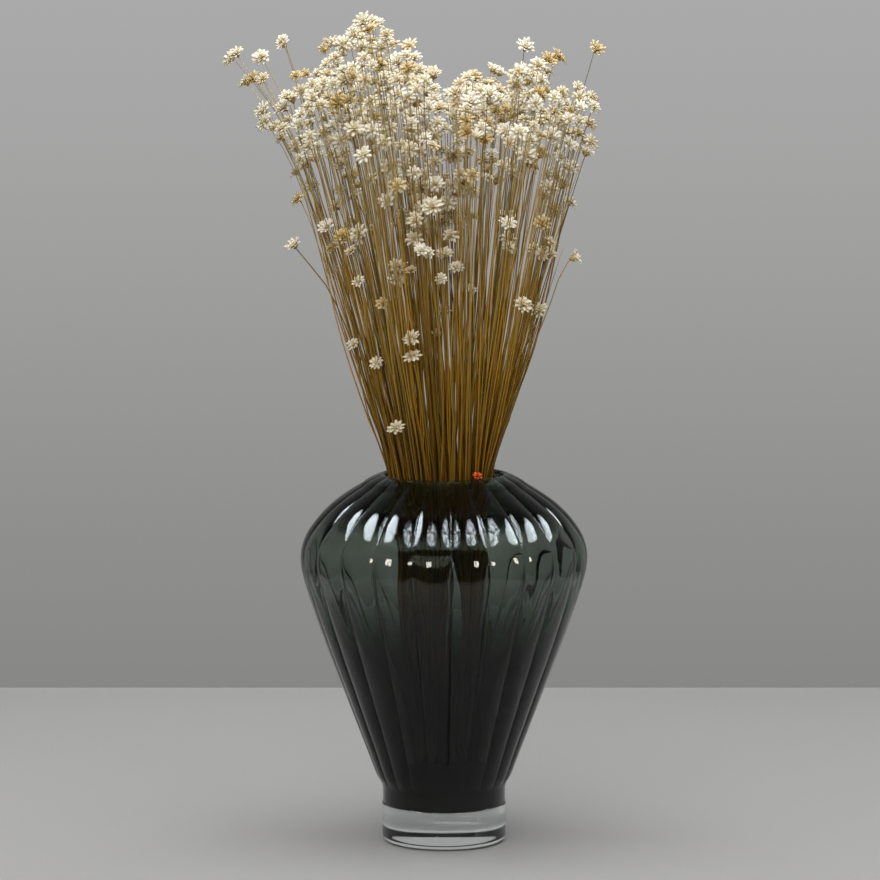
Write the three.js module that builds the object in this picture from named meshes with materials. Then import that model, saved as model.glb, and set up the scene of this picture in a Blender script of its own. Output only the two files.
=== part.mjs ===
// Vase of dried glixia: a ribbed smoked-glass vase on a clear glass foot, filled with
// tufts of thin dried stems that each end in one small star-shaped everlasting flower.
// Millimetres, +Z up. The origin is the centre of the foot's flat underside, on the table.
import * as THREE from 'three';

// ---------------------------------------------------------------- driving dimensions
const FLUTES = 22;               // convex ribs around the vase
const CREASE_DEG = 2.5;          // bearing of one crease, from the front (-Y) towards +X
const STEPS_PER_FLUTE = 3;       // facets that stand for one rib
const FOOT_R = 37.1;             // clear foot
const FOOT_H = 22.0;
const GLASS_GAP = 0.3;           // between the fused foot and the smoked body
const COLLAR_R = 36.7;           // plain band below the ribs
const CAVITY_FLOOR = 50.0;       // inside bottom of the vase
const STEM_FOOT = 50.3;          // where the cut stem ends stand
const TIE_Z = 120.0;             // a tuft's stems keep together up to here
const NECK_Z = 217.0;            // level at which the stems pass the mouth
const BUNDLE_R = 1.85;           // a tuft's stems, bunched, inside the vase
const STEM_R = { tie: 0.37, neck: 0.62, mid: 0.50, upper: 0.42, tip: 0.34 };
const HEAD_R_SHARE = 0.80;       // solid core of a flower head against its bract tips
const HEAD_UP = 1.5, HEAD_DOWN = 1.4;

// Outside of the smoked glass, rib crests: [radius, height, crease depth]
const OUTER = [
  [COLLAR_R, FOOT_H + GLASS_GAP, 0], [COLLAR_R, 33.0, 0], [39.6, 37.6, 0.9], [44.9, 51.5, 1.1],
  [61.5, 95.0, 1.7], [74.3, 130.0, 2.1], [82.9, 156.0, 2.35], [85.44, 170.5, 2.4],
  [84.1, 180.0, 2.35], [80.2, 188.2, 2.2], [74.2, 196.0, 2.0], [65.7, 204.0, 1.7],
  [55.0, 211.5, 1.3], [46.4, 217.0, 0.9], [40.2, 220.0, 0.6], [37.8, 220.9, 0.5],
];
// Inside, from the lip down to the floor of the cavity
const INNER = [
  [36.0, 220.4, 0.35], [35.4, 219.2, 0.3], [37.3, 218.1, 0.3], [44.1, 215.0, 0.4],
  [60.3, 204.0, 0.6], [75.8, 188.2, 0.8], [81.6, 172.0, 0.8], [76.3, 148.0, 0.8],
  [58.0, 100.0, 0.6], [41.4, 60.0, 0.4], [34.0, 51.2, 0.2], [30.0, CAVITY_FLOOR, 0],
];

// The tufts. Each row: foot of the tuft [x, y], its place at TIE_Z [x, y], and its stems.
// A stem: place in the tuft x, y; place in the mouth x, y; a point half way up x, y, z;
// centre of its flower x, y, z; the way the flower faces x, y, z (hundredths); flower
// radius (0 = the flower has dropped off); some have one more point near the top, x, y, z.
// All lengths are in tenths of a millimetre.
const TUFTS = [
  [[-90,-186],[-109,-216],[[-4,10,-155,-249,-335,-548,3226,-513,-776,4283,-2,-30,95,55],[0,0,-144,-281,-293,-536,3153,-461,-825,4136,-32,-49,81,51],[10,-4,-74,-310,-129,-405,2616,-191,-512,3062,-55,-27,79,47],[4,-10,-100,-308,-140,-393,2562,-185,-488,2955,-26,-8,96,46],[4,10,-116,-264,-277,-579,3430,-458,-934,4690,-6,-48,88,39],[-10,4,-193,-251,-372,-557,3466,-575,-901,4763,-4,-85,53,50],[10,4,-93,-283,-240,-619,3408,-406,-999,4646,-26,-45,86,36],[-4,-10,-122,-294,-279,-639,3529,-456,-1028,4888,-20,-51,83,50],[-10,-4,-171,-273,-252,-382,2726,-343,-505,3282,-4,-57,82,0]]],
  [[-169,23],[-202,29],[[-8,8,-257,54,-585,7,3421,-1073,-59,4673,-11,-48,87,54,-844,-28,4222],[11,0,-220,62,-448,0,3204,-706,-69,4238,-33,-60,73,45],[0,0,-240,37,-471,-58,3162,-732,-165,4154,-32,-45,83,35],[8,8,-237,59,-424,-3,2984,-635,-74,3798,-76,-14,63,46],[-8,-8,-252,22,-591,-38,3355,-1064,-121,4540,-45,-27,85,30,-846,-83,4113],[0,-11,-251,1,-379,-68,2580,-534,-143,2990,-28,-52,81,36],[-11,0,-268,37,-569,-32,3237,-921,-109,4304,-39,-11,92,39],[8,-8,-234,17,-502,-83,3373,-805,-197,4575,-45,-52,73,33],[0,11,-238,77,-568,19,3458,-939,-29,4747,-30,-35,89,45]]],
  [[-80,62],[-111,72],[[10,5,-103,103,-261,202,3437,-440,313,4705,-63,50,59,42],[-3,-11,-148,84,-335,155,3315,-547,235,4459,4,21,98,55],[5,-10,-104,77,-257,40,3176,-424,-2,4183,29,69,66,45],[3,11,-120,119,-257,183,3141,-410,256,4113,-33,30,90,48],[-11,3,-181,107,-367,99,3069,-582,172,3968,-44,12,89,40],[0,0,-142,112,-304,199,3331,-487,297,4491,20,18,96,51],[-10,-5,-179,88,-387,135,3312,-622,187,4453,-12,27,96,41],[-5,10,-159,106,-364,199,3432,-595,303,4693,-14,20,97,42],[11,-3,-127,91,-286,127,3256,-464,167,4342,-64,31,70,0]]],
  [[-189,-59],[-228,-68],[[2,11,-296,-58,-629,-97,3435,-1207,-274,4700,-5,-1,100,43,-897,-172,4245],[0,0,-271,-76,-549,-161,3372,-861,-358,4575,-29,-39,88,35],[10,5,-261,-58,-521,-211,3324,-830,-345,4478,31,-66,69,47],[-11,0,-309,-79,-557,-215,3229,-836,-368,4289,13,-53,84,50],[-7,9,-315,-53,-624,-121,3217,-946,-214,4263,-25,-25,94,44,-820,-174,3887],[2,-11,-288,-135,-516,-314,3198,-773,-515,4227,-27,-75,61,37],[10,-5,-264,-109,-508,-236,3170,-783,-381,4169,-38,-44,81,45],[-7,-9,-299,-106,-547,-253,3261,-828,-419,4351,-29,-33,90,41]]],
  [[-30,-170],[-36,-195],[[-11,2,-54,-233,-183,-472,3483,-329,-742,4795,-27,-57,77,33],[11,3,-2,-249,-104,-405,3197,-109,-605,4224,-36,-23,90,37],[9,-6,-19,-253,-91,-400,3096,-172,-566,4021,8,-69,72,38],[1,-11,-19,-273,-88,-410,2957,-167,-565,3744,-45,-38,80,51],[0,0,-40,-262,-103,-395,2905,-173,-546,3639,-30,-46,84,46],[-8,-8,-61,-285,-126,-420,2813,-196,-566,3455,-15,11,98,36],[4,10,-30,-237,-148,-426,3290,-281,-640,4409,-39,-68,62,39],[-6,10,-49,-235,-48,-249,2988,-135,-399,3806,-1,-66,76,41]]],
  [[-152,63],[-187,79],[[-11,0,-256,112,-550,71,3161,-879,33,4153,8,-48,87,38],[10,-5,-204,97,-405,99,3127,-631,100,4083,-49,-28,82,38],[0,0,-241,100,-476,65,3126,-766,54,4081,-1,-25,97,54],[10,4,-219,117,-466,120,3340,-744,124,4510,36,-36,86,50],[-7,9,-239,128,-421,112,3031,-625,95,3892,-17,-48,86,37],[3,11,-225,144,-474,198,3370,-755,260,4570,-20,21,96,38],[-7,-8,-263,81,-498,73,3152,-875,-39,4134,-34,24,91,39],[2,-11,-221,85,-432,66,3134,-669,44,4099,-31,-24,92,38]]],
  [[-156,-107],[-189,-125],[[3,11,-225,-118,-393,-294,3425,-628,-500,4681,-41,-61,67,43],[-7,9,-260,-134,-494,-345,3352,-758,-584,4533,-19,-47,86,41],[10,-5,-213,-176,-435,-430,3354,-686,-716,4537,-41,-42,81,44],[10,5,-199,-138,-340,-289,2916,-498,-461,3663,-79,-46,40,56],[-7,-9,-251,-186,-386,-330,2868,-538,-492,3566,-54,15,83,38],[0,0,-231,-154,-354,-284,2776,-494,-430,3381,-28,-37,89,36],[2,-11,-238,-210,-313,-279,2536,-397,-357,2902,-24,-46,86,37],[-11,0,-269,-164,-494,-432,3311,-748,-734,4452,-46,-74,50,46]]],
  [[-35,-20],[-51,-20],[[8,7,-38,-1,-150,30,3408,-276,64,4645,-21,-28,94,53],[-11,-3,-89,-28,-212,-65,3366,-351,-106,4561,-46,-42,78,44],[5,-10,-40,-55,-118,-35,3251,-193,-61,4332,-39,-37,84,54],[0,0,-48,-28,-132,-46,3104,-228,-67,4038,-56,-50,67,42],[-4,-10,-70,-56,-150,-40,2962,-241,-21,3753,14,-54,83,42],[0,11,-67,41,-126,11,2922,-216,-25,3675,1,-38,93,45],[11,-2,-20,-32,-113,-48,3353,-217,-66,4537,-37,-63,69,47],[-9,7,-66,-14,-181,-2,3382,-312,10,4593,14,-64,75,40]]],
  [[-7,-63],[-12,-73],[[-4,10,-14,-66,-75,-116,3457,-204,-168,4743,-28,-56,78,44],[-11,3,-44,-81,-143,-109,3304,-313,-159,4438,-59,-40,70,36],[6,10,43,-78,-10,-91,3298,-58,-121,4426,-8,-33,94,45],[-1,-11,7,-121,-57,-137,3256,-130,-155,4342,8,23,97,48],[-9,-6,-29,-99,-81,-134,3001,-140,-173,3833,-20,-53,82,47],[8,-8,17,-106,17,-117,2968,19,-109,3767,12,-22,97,51],[11,1,34,-103,26,-87,3147,16,-70,4124,-1,-29,96,36],[0,0,-4,-95,-49,-130,3218,-99,-170,4265,9,-76,65,42]]],
  [[6,53],[3,65],[[7,8,39,127,-10,194,3364,-65,270,4558,3,-26,96,57],[11,-1,40,97,-29,170,3314,-106,252,4457,-22,7,97,42],[-2,11,18,114,-26,154,3026,-75,198,3883,25,63,73,38],[6,-9,36,64,22,83,3039,7,104,3909,14,-1,99,33],[-10,5,-7,104,-85,158,3281,-173,220,4392,-2,63,78,48],[0,0,17,84,-55,132,3205,-136,186,4240,-44,1,90,51],[-3,-11,9,54,-64,95,3289,-146,141,4408,21,62,76,47],[-10,-4,-9,77,-65,113,3041,-129,153,3911,10,2,99,44]]],
  [[-197,-10],[-238,-9],[[11,2,-284,-11,-579,-68,3276,-936,-155,4382,-48,-34,81,54],[-11,3,-323,1,-560,-52,3009,-857,-117,3847,-62,-15,77,45,-732,-90,3545],[5,10,-288,15,-508,-29,2870,-882,-104,3570,-26,-6,96,48,-686,-65,3318],[8,-7,-275,-33,-457,-129,2869,-653,-212,3567,-46,10,88,41],[-9,-6,-320,-24,-635,-76,3422,-1242,-201,4673,-64,-45,62,49,-906,-130,4222],[0,0,-301,-8,-618,-80,3361,-1057,-179,4552,-46,-29,84,40,-856,-134,4123],[-1,-11,-310,-30,-621,-99,3310,-920,-206,4449,-12,-31,94,38],[-4,10,-318,16,-603,-21,3129,-842,-196,4087,-85,-30,44,38]]],
  [[-145,119],[-171,136],[[5,-10,-202,162,-354,222,2929,-525,289,3688,-17,-14,97,44],[8,7,-178,197,-358,457,3170,-561,751,4170,8,-21,97,53],[0,0,-207,179,-426,376,3282,-674,598,4394,-77,-11,63,43],[11,-2,-182,177,-360,375,3175,-559,598,4181,-26,23,94,51],[-1,11,-201,197,-365,408,3062,-550,645,3953,-29,36,89,55],[-4,-10,-203,141,-440,228,3296,-707,327,4421,-34,25,90,51],[-9,6,-225,195,-458,463,3439,-720,766,4709,-20,67,71,39],[-11,-3,-225,169,-462,331,3309,-729,513,4449,-26,29,92,46]]],
  [[-109,-69],[-132,-78],[[-6,-9,-171,-124,-345,-314,3466,-541,-529,4761,-20,-47,86,46],[10,-4,-137,-125,-298,-270,3456,-479,-433,4742,-21,-39,90,46],[-11,-1,-186,-99,-404,-219,3295,-615,-337,4419,-26,-58,77,51],[10,5,-151,-75,-345,-181,3270,-564,-299,4369,-29,-43,85,46],[0,0,-152,-101,-309,-255,3266,-486,-429,4362,-49,-18,86,48],[-7,8,-181,-70,-382,-193,3241,-608,-333,4313,-62,-44,65,41],[2,11,-151,-51,-308,-109,3200,-485,-174,4230,-25,-34,91,38],[3,-11,-160,-147,-319,-311,3212,-497,-497,4254,44,-26,86,0]]],
  [[7,-9],[4,-8],[[-6,9,14,11,-99,16,3419,-178,80,4669,-14,-25,96,45],[10,4,39,10,49,0,3132,60,-12,4095,-43,-68,60,48],[4,10,30,38,14,41,3066,-5,46,3962,-18,-22,96,42],[-8,-8,7,-23,74,-37,2938,1,-23,3706,-24,-23,94,49],[0,0,0,-13,-55,-6,2917,-118,3,3663,4,-52,85,40],[-11,1,-13,17,-55,-42,3173,-141,33,4175,-25,20,95,53],[9,-6,34,-20,1,-8,3014,-35,6,3858,0,-55,84,43],[1,-11,36,-53,-18,-43,3331,-58,-77,4492,-14,-29,95,39]]],
  [[-112,91],[-133,111],[[9,-7,-134,134,-280,265,3462,-445,445,4755,-1,13,99,52],[0,-11,-174,131,-397,225,3458,-648,333,4746,-31,67,68,43],[-9,-7,-138,148,-280,193,3010,-536,211,3849,-66,9,75,48],[-11,2,-179,151,-416,268,3457,-682,400,4744,51,18,84,42],[0,0,-157,141,-357,281,3274,-583,440,4378,-51,34,79,40],[11,3,-143,162,-340,325,3343,-563,509,4516,-1,-27,96,46],[5,10,-158,185,-356,457,3462,-579,765,4755,-36,-22,91,48],[-5,10,-165,165,-331,263,3036,-517,374,3902,-25,-2,97,45]]],
  [[-119,-134],[-145,-156],[[11,2,-146,-197,-322,-438,3496,-513,-715,4822,-59,-56,58,49],[9,-7,-144,-198,-333,-459,3394,-578,-818,4618,-39,10,92,43],[5,10,-156,-171,-349,-416,3362,-566,-692,4553,-69,-33,65,57],[0,-11,-182,-225,-263,-335,2713,-354,-458,3255,-22,-88,41,39],[-9,-7,-215,-234,-245,-303,2346,-280,-380,2522,-16,-28,95,45],[-5,10,-184,-165,-356,-379,3304,-551,-620,4437,29,11,95,43],[-11,3,-209,-208,-408,-475,3352,-632,-777,4533,-60,-63,49,41],[0,0,-182,-195,-348,-435,3204,-535,-707,4239,-22,-54,81,0]]],
  [[-9,-207],[-14,-239],[[-1,11,-7,-292,-15,-483,2999,-69,-609,3828,-28,-47,84,54],[11,-2,40,-307,54,-331,2908,37,-343,3646,-1,-64,77,44],[-11,-3,-50,-315,-88,-455,2872,-132,-614,3574,8,-44,89,42],[-4,-10,-25,-319,-47,-439,2861,-92,-555,3553,-10,-45,89,36],[5,-10,33,-317,19,-431,2816,68,-373,3462,8,2,100,41],[0,0,2,-320,11,-409,2787,-17,-501,3404,-16,-56,81,33],[-9,7,-32,-292,-142,-556,3364,-267,-854,4558,-68,-37,63,46],[8,7,14,-302,-43,-495,3362,-108,-712,4554,53,-22,82,42]]],
  [[1,-139],[-4,-164],[[-4,-10,-2,-226,-76,-386,3351,-160,-567,4533,25,-50,83,48],[11,-2,42,-216,58,-177,2941,76,-133,3712,38,13,91,49],[8,8,21,-196,-16,-264,3194,-58,-340,4218,66,-27,70,47],[6,-10,16,-239,-50,-294,3234,-37,-396,4299,-7,-43,90,43],[0,0,19,-218,-33,-301,3280,-92,-395,4390,-11,-50,86,43],[-11,-3,-18,-220,-99,-360,3236,-190,-518,4302,-6,-29,96,43],[-9,6,-17,-187,-157,-323,3432,-221,-470,4694,-17,-27,95,38],[-1,11,4,-198,-50,-389,3240,-148,-493,4310,-12,-59,80,0]]],
  [[-145,-44],[-173,-43],[[-10,-4,-217,-72,-434,-308,3289,-783,-514,4407,-43,-26,87,45],[-1,11,-242,-29,-539,-137,3284,-724,-228,4398,20,-22,95,51],[-4,-10,-241,-89,-404,-209,2904,-588,-344,3638,35,-22,91,54],[6,-9,-211,-87,-445,-226,3407,-682,-430,4644,-48,2,88,46],[8,8,-195,-30,-413,-97,3309,-677,-175,4448,-12,-2,99,41],[11,-1,-171,-40,-349,-123,3245,-548,-218,4320,-22,-45,87,41],[-9,6,-247,-32,-488,-143,3260,-770,-280,4350,-80,-42,42,48],[0,0,-202,-53,-407,-124,3181,-601,-248,4193,10,-78,61,47]]],
  [[-68,-149],[-83,-179],[[-3,-11,-90,-259,-250,-536,3508,-431,-849,4846,-27,-16,95,46],[-10,5,-125,-209,-310,-478,3371,-518,-781,4573,-16,-59,79,46],[-10,-5,-129,-238,-279,-524,3364,-449,-846,4558,-34,-80,50,46],[0,0,-107,-237,-250,-471,3223,-411,-734,4275,-23,-46,86,50],[7,9,-71,-211,-207,-441,3458,-361,-701,4746,10,-48,87,47],[-2,11,-100,-210,-249,-456,3305,-417,-734,4441,-42,-11,90,45],[11,0,-84,-231,-171,-416,3060,-270,-625,3949,-16,-47,87,49],[7,-9,-69,-247,-230,-540,3491,-328,-880,4813,3,-52,85,39]]],
  [[-74,111],[-92,130],[[-6,-9,-121,154,-236,297,3074,-366,458,3978,-16,10,98,42],[-11,-1,-132,180,-242,304,3038,-366,445,3906,-5,-25,97,39],[2,11,-114,198,-224,394,3160,-349,616,4151,-24,40,88,52],[0,0,-106,177,-236,396,3338,-383,643,4506,27,37,89,48],[10,-4,-91,159,-209,403,3480,-341,679,4790,0,60,80,42],[3,-11,-101,134,-229,258,3277,-373,436,4384,-52,15,84,46],[10,6,-83,193,-160,313,2919,-188,519,3667,-6,45,89,50],[-8,8,-143,197,-300,438,3129,-477,710,4088,-5,44,90,48]]],
  [[-38,87],[-51,108],[[-11,-1,-75,141,-197,257,3324,-334,388,4477,-9,-43,90,42],[0,0,-51,145,-112,203,2899,-181,268,3628,12,36,93,43],[-7,8,-64,167,-135,333,3095,-214,519,4020,-56,-14,82,49],[10,-4,-28,131,-120,283,3260,-223,455,4350,52,-9,85,49],[-6,-9,-79,117,-219,246,3387,-376,392,4604,-38,58,72,46],[2,11,-51,193,-95,436,3066,-182,631,3963,0,-5,100,43],[3,-11,-48,116,-127,209,3061,-216,313,3952,23,-38,89,43],[10,5,-38,160,-99,435,3141,-180,554,4112,-19,15,97,0]]],
  [[-67,-59],[-85,-68],[[11,-3,-63,-101,-200,-181,3286,-355,-270,4403,-6,24,97,51],[4,-10,-89,-103,-209,-174,3240,-343,-255,4309,-60,-43,67,42],[0,0,-107,-80,-224,-150,3204,-356,-229,4238,-23,-30,93,43],[1,11,-88,-47,-182,-115,3103,-307,-141,4037,1,-64,77,57],[-6,-9,-110,-110,-254,-230,3355,-405,-397,4540,-46,-13,88,47],[9,6,-82,-79,-159,-149,3075,-286,-210,3981,-60,-55,58,49],[-8,8,-123,-62,-266,-142,3524,-396,-219,4878,60,5,80,49],[-11,-1,-127,-92,-283,-223,3354,-458,-370,4538,2,11,99,0]]],
  [[21,-177],[15,-204],[[3,11,44,-242,80,-199,3047,42,-223,3925,-33,-75,57,48],[10,4,38,-249,68,-302,3024,72,-170,3877,-2,-2,100,42],[-6,9,35,-252,60,-248,3001,20,-257,3833,-20,-74,65,48],[2,-11,41,-288,16,-311,2855,2,-387,3540,-12,-2,99,48],[0,0,34,-272,-6,-363,3061,-52,-464,3953,-18,-36,91,49],[-7,-8,20,-282,-22,-406,3173,-69,-547,4176,25,10,96,43],[10,-5,41,-271,29,-264,3217,1,-309,4265,-21,-24,95,43],[-11,1,0,-271,-86,-474,3333,-160,-710,4497,-15,-39,91,43]]],
  [[-181,95],[-214,115],[[7,-9,-263,141,-606,115,3358,-1132,74,4545,-56,-30,77,48,-873,94,4118],[-10,5,-289,147,-576,138,3298,-899,127,4426,13,20,97,52],[7,9,-242,179,-469,300,3236,-725,437,4302,-60,-35,72,48],[11,0,-245,155,-504,187,3225,-796,224,4280,-28,20,94,51],[-10,-5,-300,121,-545,132,3101,-822,145,4032,-68,-11,72,49],[0,0,-271,168,-504,304,3111,-767,457,4053,0,-19,98,44],[-2,11,-255,195,-418,294,2890,-602,404,3610,-29,28,92,52],[-2,-11,-279,130,-512,116,3037,-776,100,3905,-15,-71,69,50]]],
  [[-134,-2],[-163,7],[[0,0,-217,21,-438,-29,3374,-687,-86,4578,-1,-13,99,49],[-9,6,-213,40,-465,-41,3322,-749,-133,4474,-36,-13,92,51],[-4,-11,-198,12,-467,-88,3181,-653,-183,4192,-34,-23,91,42],[-10,-4,-235,-6,-450,-50,2929,-685,-192,3687,-43,-41,81,49],[11,-1,-184,10,-400,-46,3223,-644,-110,4275,2,-12,99,49],[-1,11,-206,74,-409,81,3254,-638,90,4338,49,25,84,46],[8,8,-198,62,-387,0,3109,-601,-70,4047,-72,-45,53,47],[6,-9,-175,-14,-389,-102,3408,-630,-202,4645,-11,-82,57,48]]],
  [[-100,25],[-124,29],[[11,-3,-130,40,-299,80,3392,-490,124,4614,-59,34,73,49],[-8,7,-177,68,-297,76,2917,-432,86,3664,-19,-4,98,31],[9,7,-129,67,-301,110,3338,-494,159,4505,-37,42,83,46],[0,11,-157,63,-347,135,3291,-496,153,4412,15,-13,98,47],[-11,-2,-182,34,-396,9,3376,-639,-20,4583,-42,10,90,43],[-5,-10,-166,21,-348,61,3142,-583,-24,4113,5,-24,97,41],[0,0,-158,43,-338,16,3388,-540,-14,4606,-53,-47,71,48],[4,-10,-140,17,-306,-23,3333,-493,-68,4496,61,-8,79,40]]],
  [[-27,-106],[-37,-125],[[2,11,-2,-135,-69,-174,3383,-144,-218,4597,27,-60,75,45],[10,-4,-19,-168,-108,-283,3308,-213,-392,4446,-45,-65,61,46],[3,-11,-61,-190,-111,-264,3215,-197,-327,4260,-18,-35,92,45],[10,5,-17,-153,-80,-239,3151,-151,-336,4132,23,-45,86,46],[0,0,-43,-155,-121,-263,3395,-209,-385,4621,-9,-45,89,45],[-11,-1,-60,-181,-157,-328,3322,-266,-495,4474,-41,-67,62,45],[-7,8,-44,-124,-167,-200,3218,-313,-342,4266,-29,-29,91,46],[-6,-9,-52,-198,-121,-330,3159,-203,-455,4149,-37,-64,67,49]]],
  [[-70,-104],[-82,-121],[[5,-10,-81,-187,-239,-411,3530,-417,-664,4889,-3,-21,98,48],[9,7,-68,-128,-217,-279,3407,-378,-435,4644,47,-10,88,53],[0,11,-89,-131,-211,-256,3181,-347,-397,4193,-23,-41,88,48],[11,-3,-66,-156,-152,-263,3170,-249,-384,4169,-46,-40,79,48],[0,0,-95,-159,-203,-268,3007,-325,-391,3845,-45,-56,70,50],[-5,-10,-114,-182,-211,-267,2818,-270,-392,3467,7,-4,100,52],[-11,-2,-131,-159,-201,-259,2779,-279,-372,3387,28,-43,86,45],[-8,7,-114,-142,-285,-312,3483,-477,-504,4796,-42,14,90,40]]],
  [[-206,46],[-241,52],[[-9,-7,-322,43,-617,-28,3472,-949,-107,4774,-32,-33,89,38],[0,0,-294,74,-609,28,3266,-1064,-39,4363,-59,-24,77,54,-849,-7,3968],[0,-11,-301,47,-607,-14,3233,-1055,-103,4295,-70,-52,49,53,-841,-60,3913],[11,3,-285,72,-577,3,3086,-873,-35,4002,-55,54,64,46],[-5,10,-307,94,-634,60,3350,-1171,2,4529,-63,24,74,46,-896,32,4104],[-11,2,-316,67,-604,22,3216,-983,-38,4261,-11,-10,99,47,-817,-12,3885],[9,-7,-294,59,-616,30,3184,-830,-76,4199,33,3,94,48],[5,10,-281,102,-576,61,3185,-955,7,4200,-38,-28,88,40,-792,30,3835]]],
  [[-38,40],[-50,50],[[11,2,-38,77,-140,148,3373,-255,228,4576,22,-32,92,35],[-4,10,-54,84,-144,165,3263,-246,255,4356,3,9,100,54],[5,10,-29,101,-109,141,3028,-185,208,3885,-28,-48,83,50],[8,-7,-21,61,-37,47,2932,-77,67,3693,-23,-76,61,43],[-9,-6,-79,58,-183,98,3246,-302,144,4322,23,-25,94,42],[-1,-11,-41,33,-157,82,3458,-300,199,4745,6,-6,100,45],[-11,3,-84,88,-223,174,3420,-380,272,4670,10,-7,99,34],[0,0,-58,63,-181,112,3418,-319,167,4666,-81,-19,55,38]]],
  [[2,102],[-3,122],[[6,-9,17,142,-52,247,3033,-130,365,3895,-17,71,69,42],[8,8,35,190,-13,366,3304,-68,563,4438,-22,25,94,46],[-1,11,5,193,-58,388,3318,-129,607,4467,6,73,68,45],[0,0,10,168,-36,244,2887,-89,330,3604,34,10,94,44],[-10,-4,6,128,-59,298,3150,-156,438,4131,-15,38,91,46],[-4,-10,-3,128,-94,200,3167,-196,308,4163,18,64,75,41],[11,-1,37,160,46,182,2961,55,207,3753,29,-14,94,50],[-9,6,-22,188,-80,376,3189,-144,589,4207,-24,19,95,38]]],
  [[17,-99],[11,-121],[[9,-6,34,-177,40,-169,3271,17,-150,4372,7,-26,96,44],[11,3,37,-147,-5,-189,3222,-52,-237,4274,-2,11,99,33],[4,10,40,-118,13,-145,3154,-17,-176,4137,13,-21,97,44],[-5,10,25,-133,-15,-178,3119,-60,-229,4069,-25,-17,95,51],[-11,2,5,-150,-52,-209,3083,-116,-275,3996,-47,-64,61,41],[0,0,18,-176,58,-148,2675,-5,-186,3181,0,-37,93,44],[-8,-7,-2,-179,-34,-208,2614,-41,-207,3059,25,22,94,33],[1,-11,40,-196,15,-180,3274,-29,-224,4378,-16,-30,94,48]]],
  [[-78,-12],[-96,-6],[[4,10,-105,23,-236,72,3318,-384,127,4467,-32,37,87,47],[0,-11,-119,-37,-269,-108,3282,-438,-188,4394,27,-11,96,40],[9,-7,-103,-6,-242,-16,3247,-400,-27,4325,-11,29,95,50],[-11,2,-153,-11,-285,-52,3064,-434,-98,3958,-67,-38,64,45],[11,3,-78,11,-166,25,3054,-265,40,3939,-31,-27,91,40],[-5,10,-101,46,-187,62,2926,-284,79,3682,-46,-6,88,31],[-8,-7,-140,-28,-291,-82,3232,-462,-143,4294,-18,-30,94,46],[0,0,-126,-5,-271,-49,3278,-434,-98,4386,-38,-42,83,46]]],
  [[163,-40],[167,-43],[[11,0,219,-48,405,-168,3357,565,-305,4543,28,-28,92,47],[-3,-11,178,-69,246,-82,3328,323,-96,4485,30,-35,89,42],[0,0,192,-49,322,-99,3244,469,-154,4317,-31,9,95,42],[-10,5,151,-34,213,-50,3210,301,-50,4249,47,-36,80,54],[7,-9,205,-66,344,-191,3183,503,-304,4195,-12,-69,71,50],[-10,-4,170,-43,236,-48,3265,310,-52,4361,19,-37,91,44],[7,8,201,-31,320,1,3320,455,37,4469,0,7,100,44],[-2,11,170,-22,263,-15,3267,368,-7,4364,41,-33,85,38]]],
  [[164,-148],[175,-170],[[10,4,210,-208,329,-437,3456,464,-695,4742,23,-47,85,54],[-11,1,180,-217,289,-465,3350,412,-745,4531,20,-58,79,54],[9,-6,222,-232,358,-443,3230,511,-681,4290,58,-24,78,37],[1,-11,197,-250,306,-495,3218,429,-771,4265,-13,-53,84,52],[-6,9,182,-192,273,-356,3179,375,-542,4187,60,-52,61,43],[4,10,203,-185,300,-422,2946,372,-497,3722,12,-39,91,46],[-8,-8,168,-237,211,-426,3324,259,-640,4478,34,-2,94,48],[0,0,198,-229,304,-500,3387,422,-805,4603,-43,-48,76,54]]],
  [[108,27],[110,38],[[9,7,131,75,221,125,3379,304,254,4588,11,19,98,40],[5,-10,117,22,146,64,3328,178,111,4485,37,20,91,45],[-11,-2,94,47,117,73,3148,143,102,4125,31,45,84,36],[-9,7,97,79,130,92,2952,167,107,3734,28,8,96,37],[0,0,114,55,181,142,3318,257,239,4466,-10,-33,94,44],[0,11,97,102,119,182,3135,144,272,4100,0,-7,100,45],[11,-3,137,45,209,114,3349,290,193,4529,8,41,91,44],[-5,-10,95,16,76,31,3287,54,47,4404,-5,-23,97,46]]],
  [[145,49],[154,60],[[7,9,182,116,295,221,3268,424,340,4366,29,30,91,38],[-2,-11,159,36,243,103,3232,339,178,4294,67,2,74,50],[0,0,170,97,291,182,3223,426,277,4277,33,15,93,39],[-2,11,168,141,237,252,3049,313,377,3927,12,8,99,50],[-10,5,152,91,284,121,3203,363,332,4235,19,24,95,44],[7,-9,186,46,269,156,3250,413,196,4330,13,75,65,44],[-10,-5,161,67,261,134,3317,375,211,4464,22,44,87,49],[11,0,188,76,291,155,3151,407,245,4133,30,66,69,0]]],
  [[191,-78],[206,-88],[[-2,11,230,-80,457,-263,3322,686,-347,4475,24,-53,81,41],[-3,-11,237,-141,408,-310,3198,617,-489,4226,4,-66,75,51],[0,0,218,-118,394,-302,3141,480,-350,4111,-11,-52,85,56],[7,9,210,-84,386,-212,2942,572,-337,3714,25,-65,72,50],[-10,5,201,-87,367,-260,3317,489,-470,4464,6,-78,63,47],[7,-9,267,-138,521,-350,3283,784,-523,4395,25,-43,87,37],[11,0,247,-119,433,-264,3269,643,-427,4368,26,-55,80,47],[-10,-5,217,-127,395,-291,3417,597,-476,4664,51,-21,83,50]]],
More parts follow.
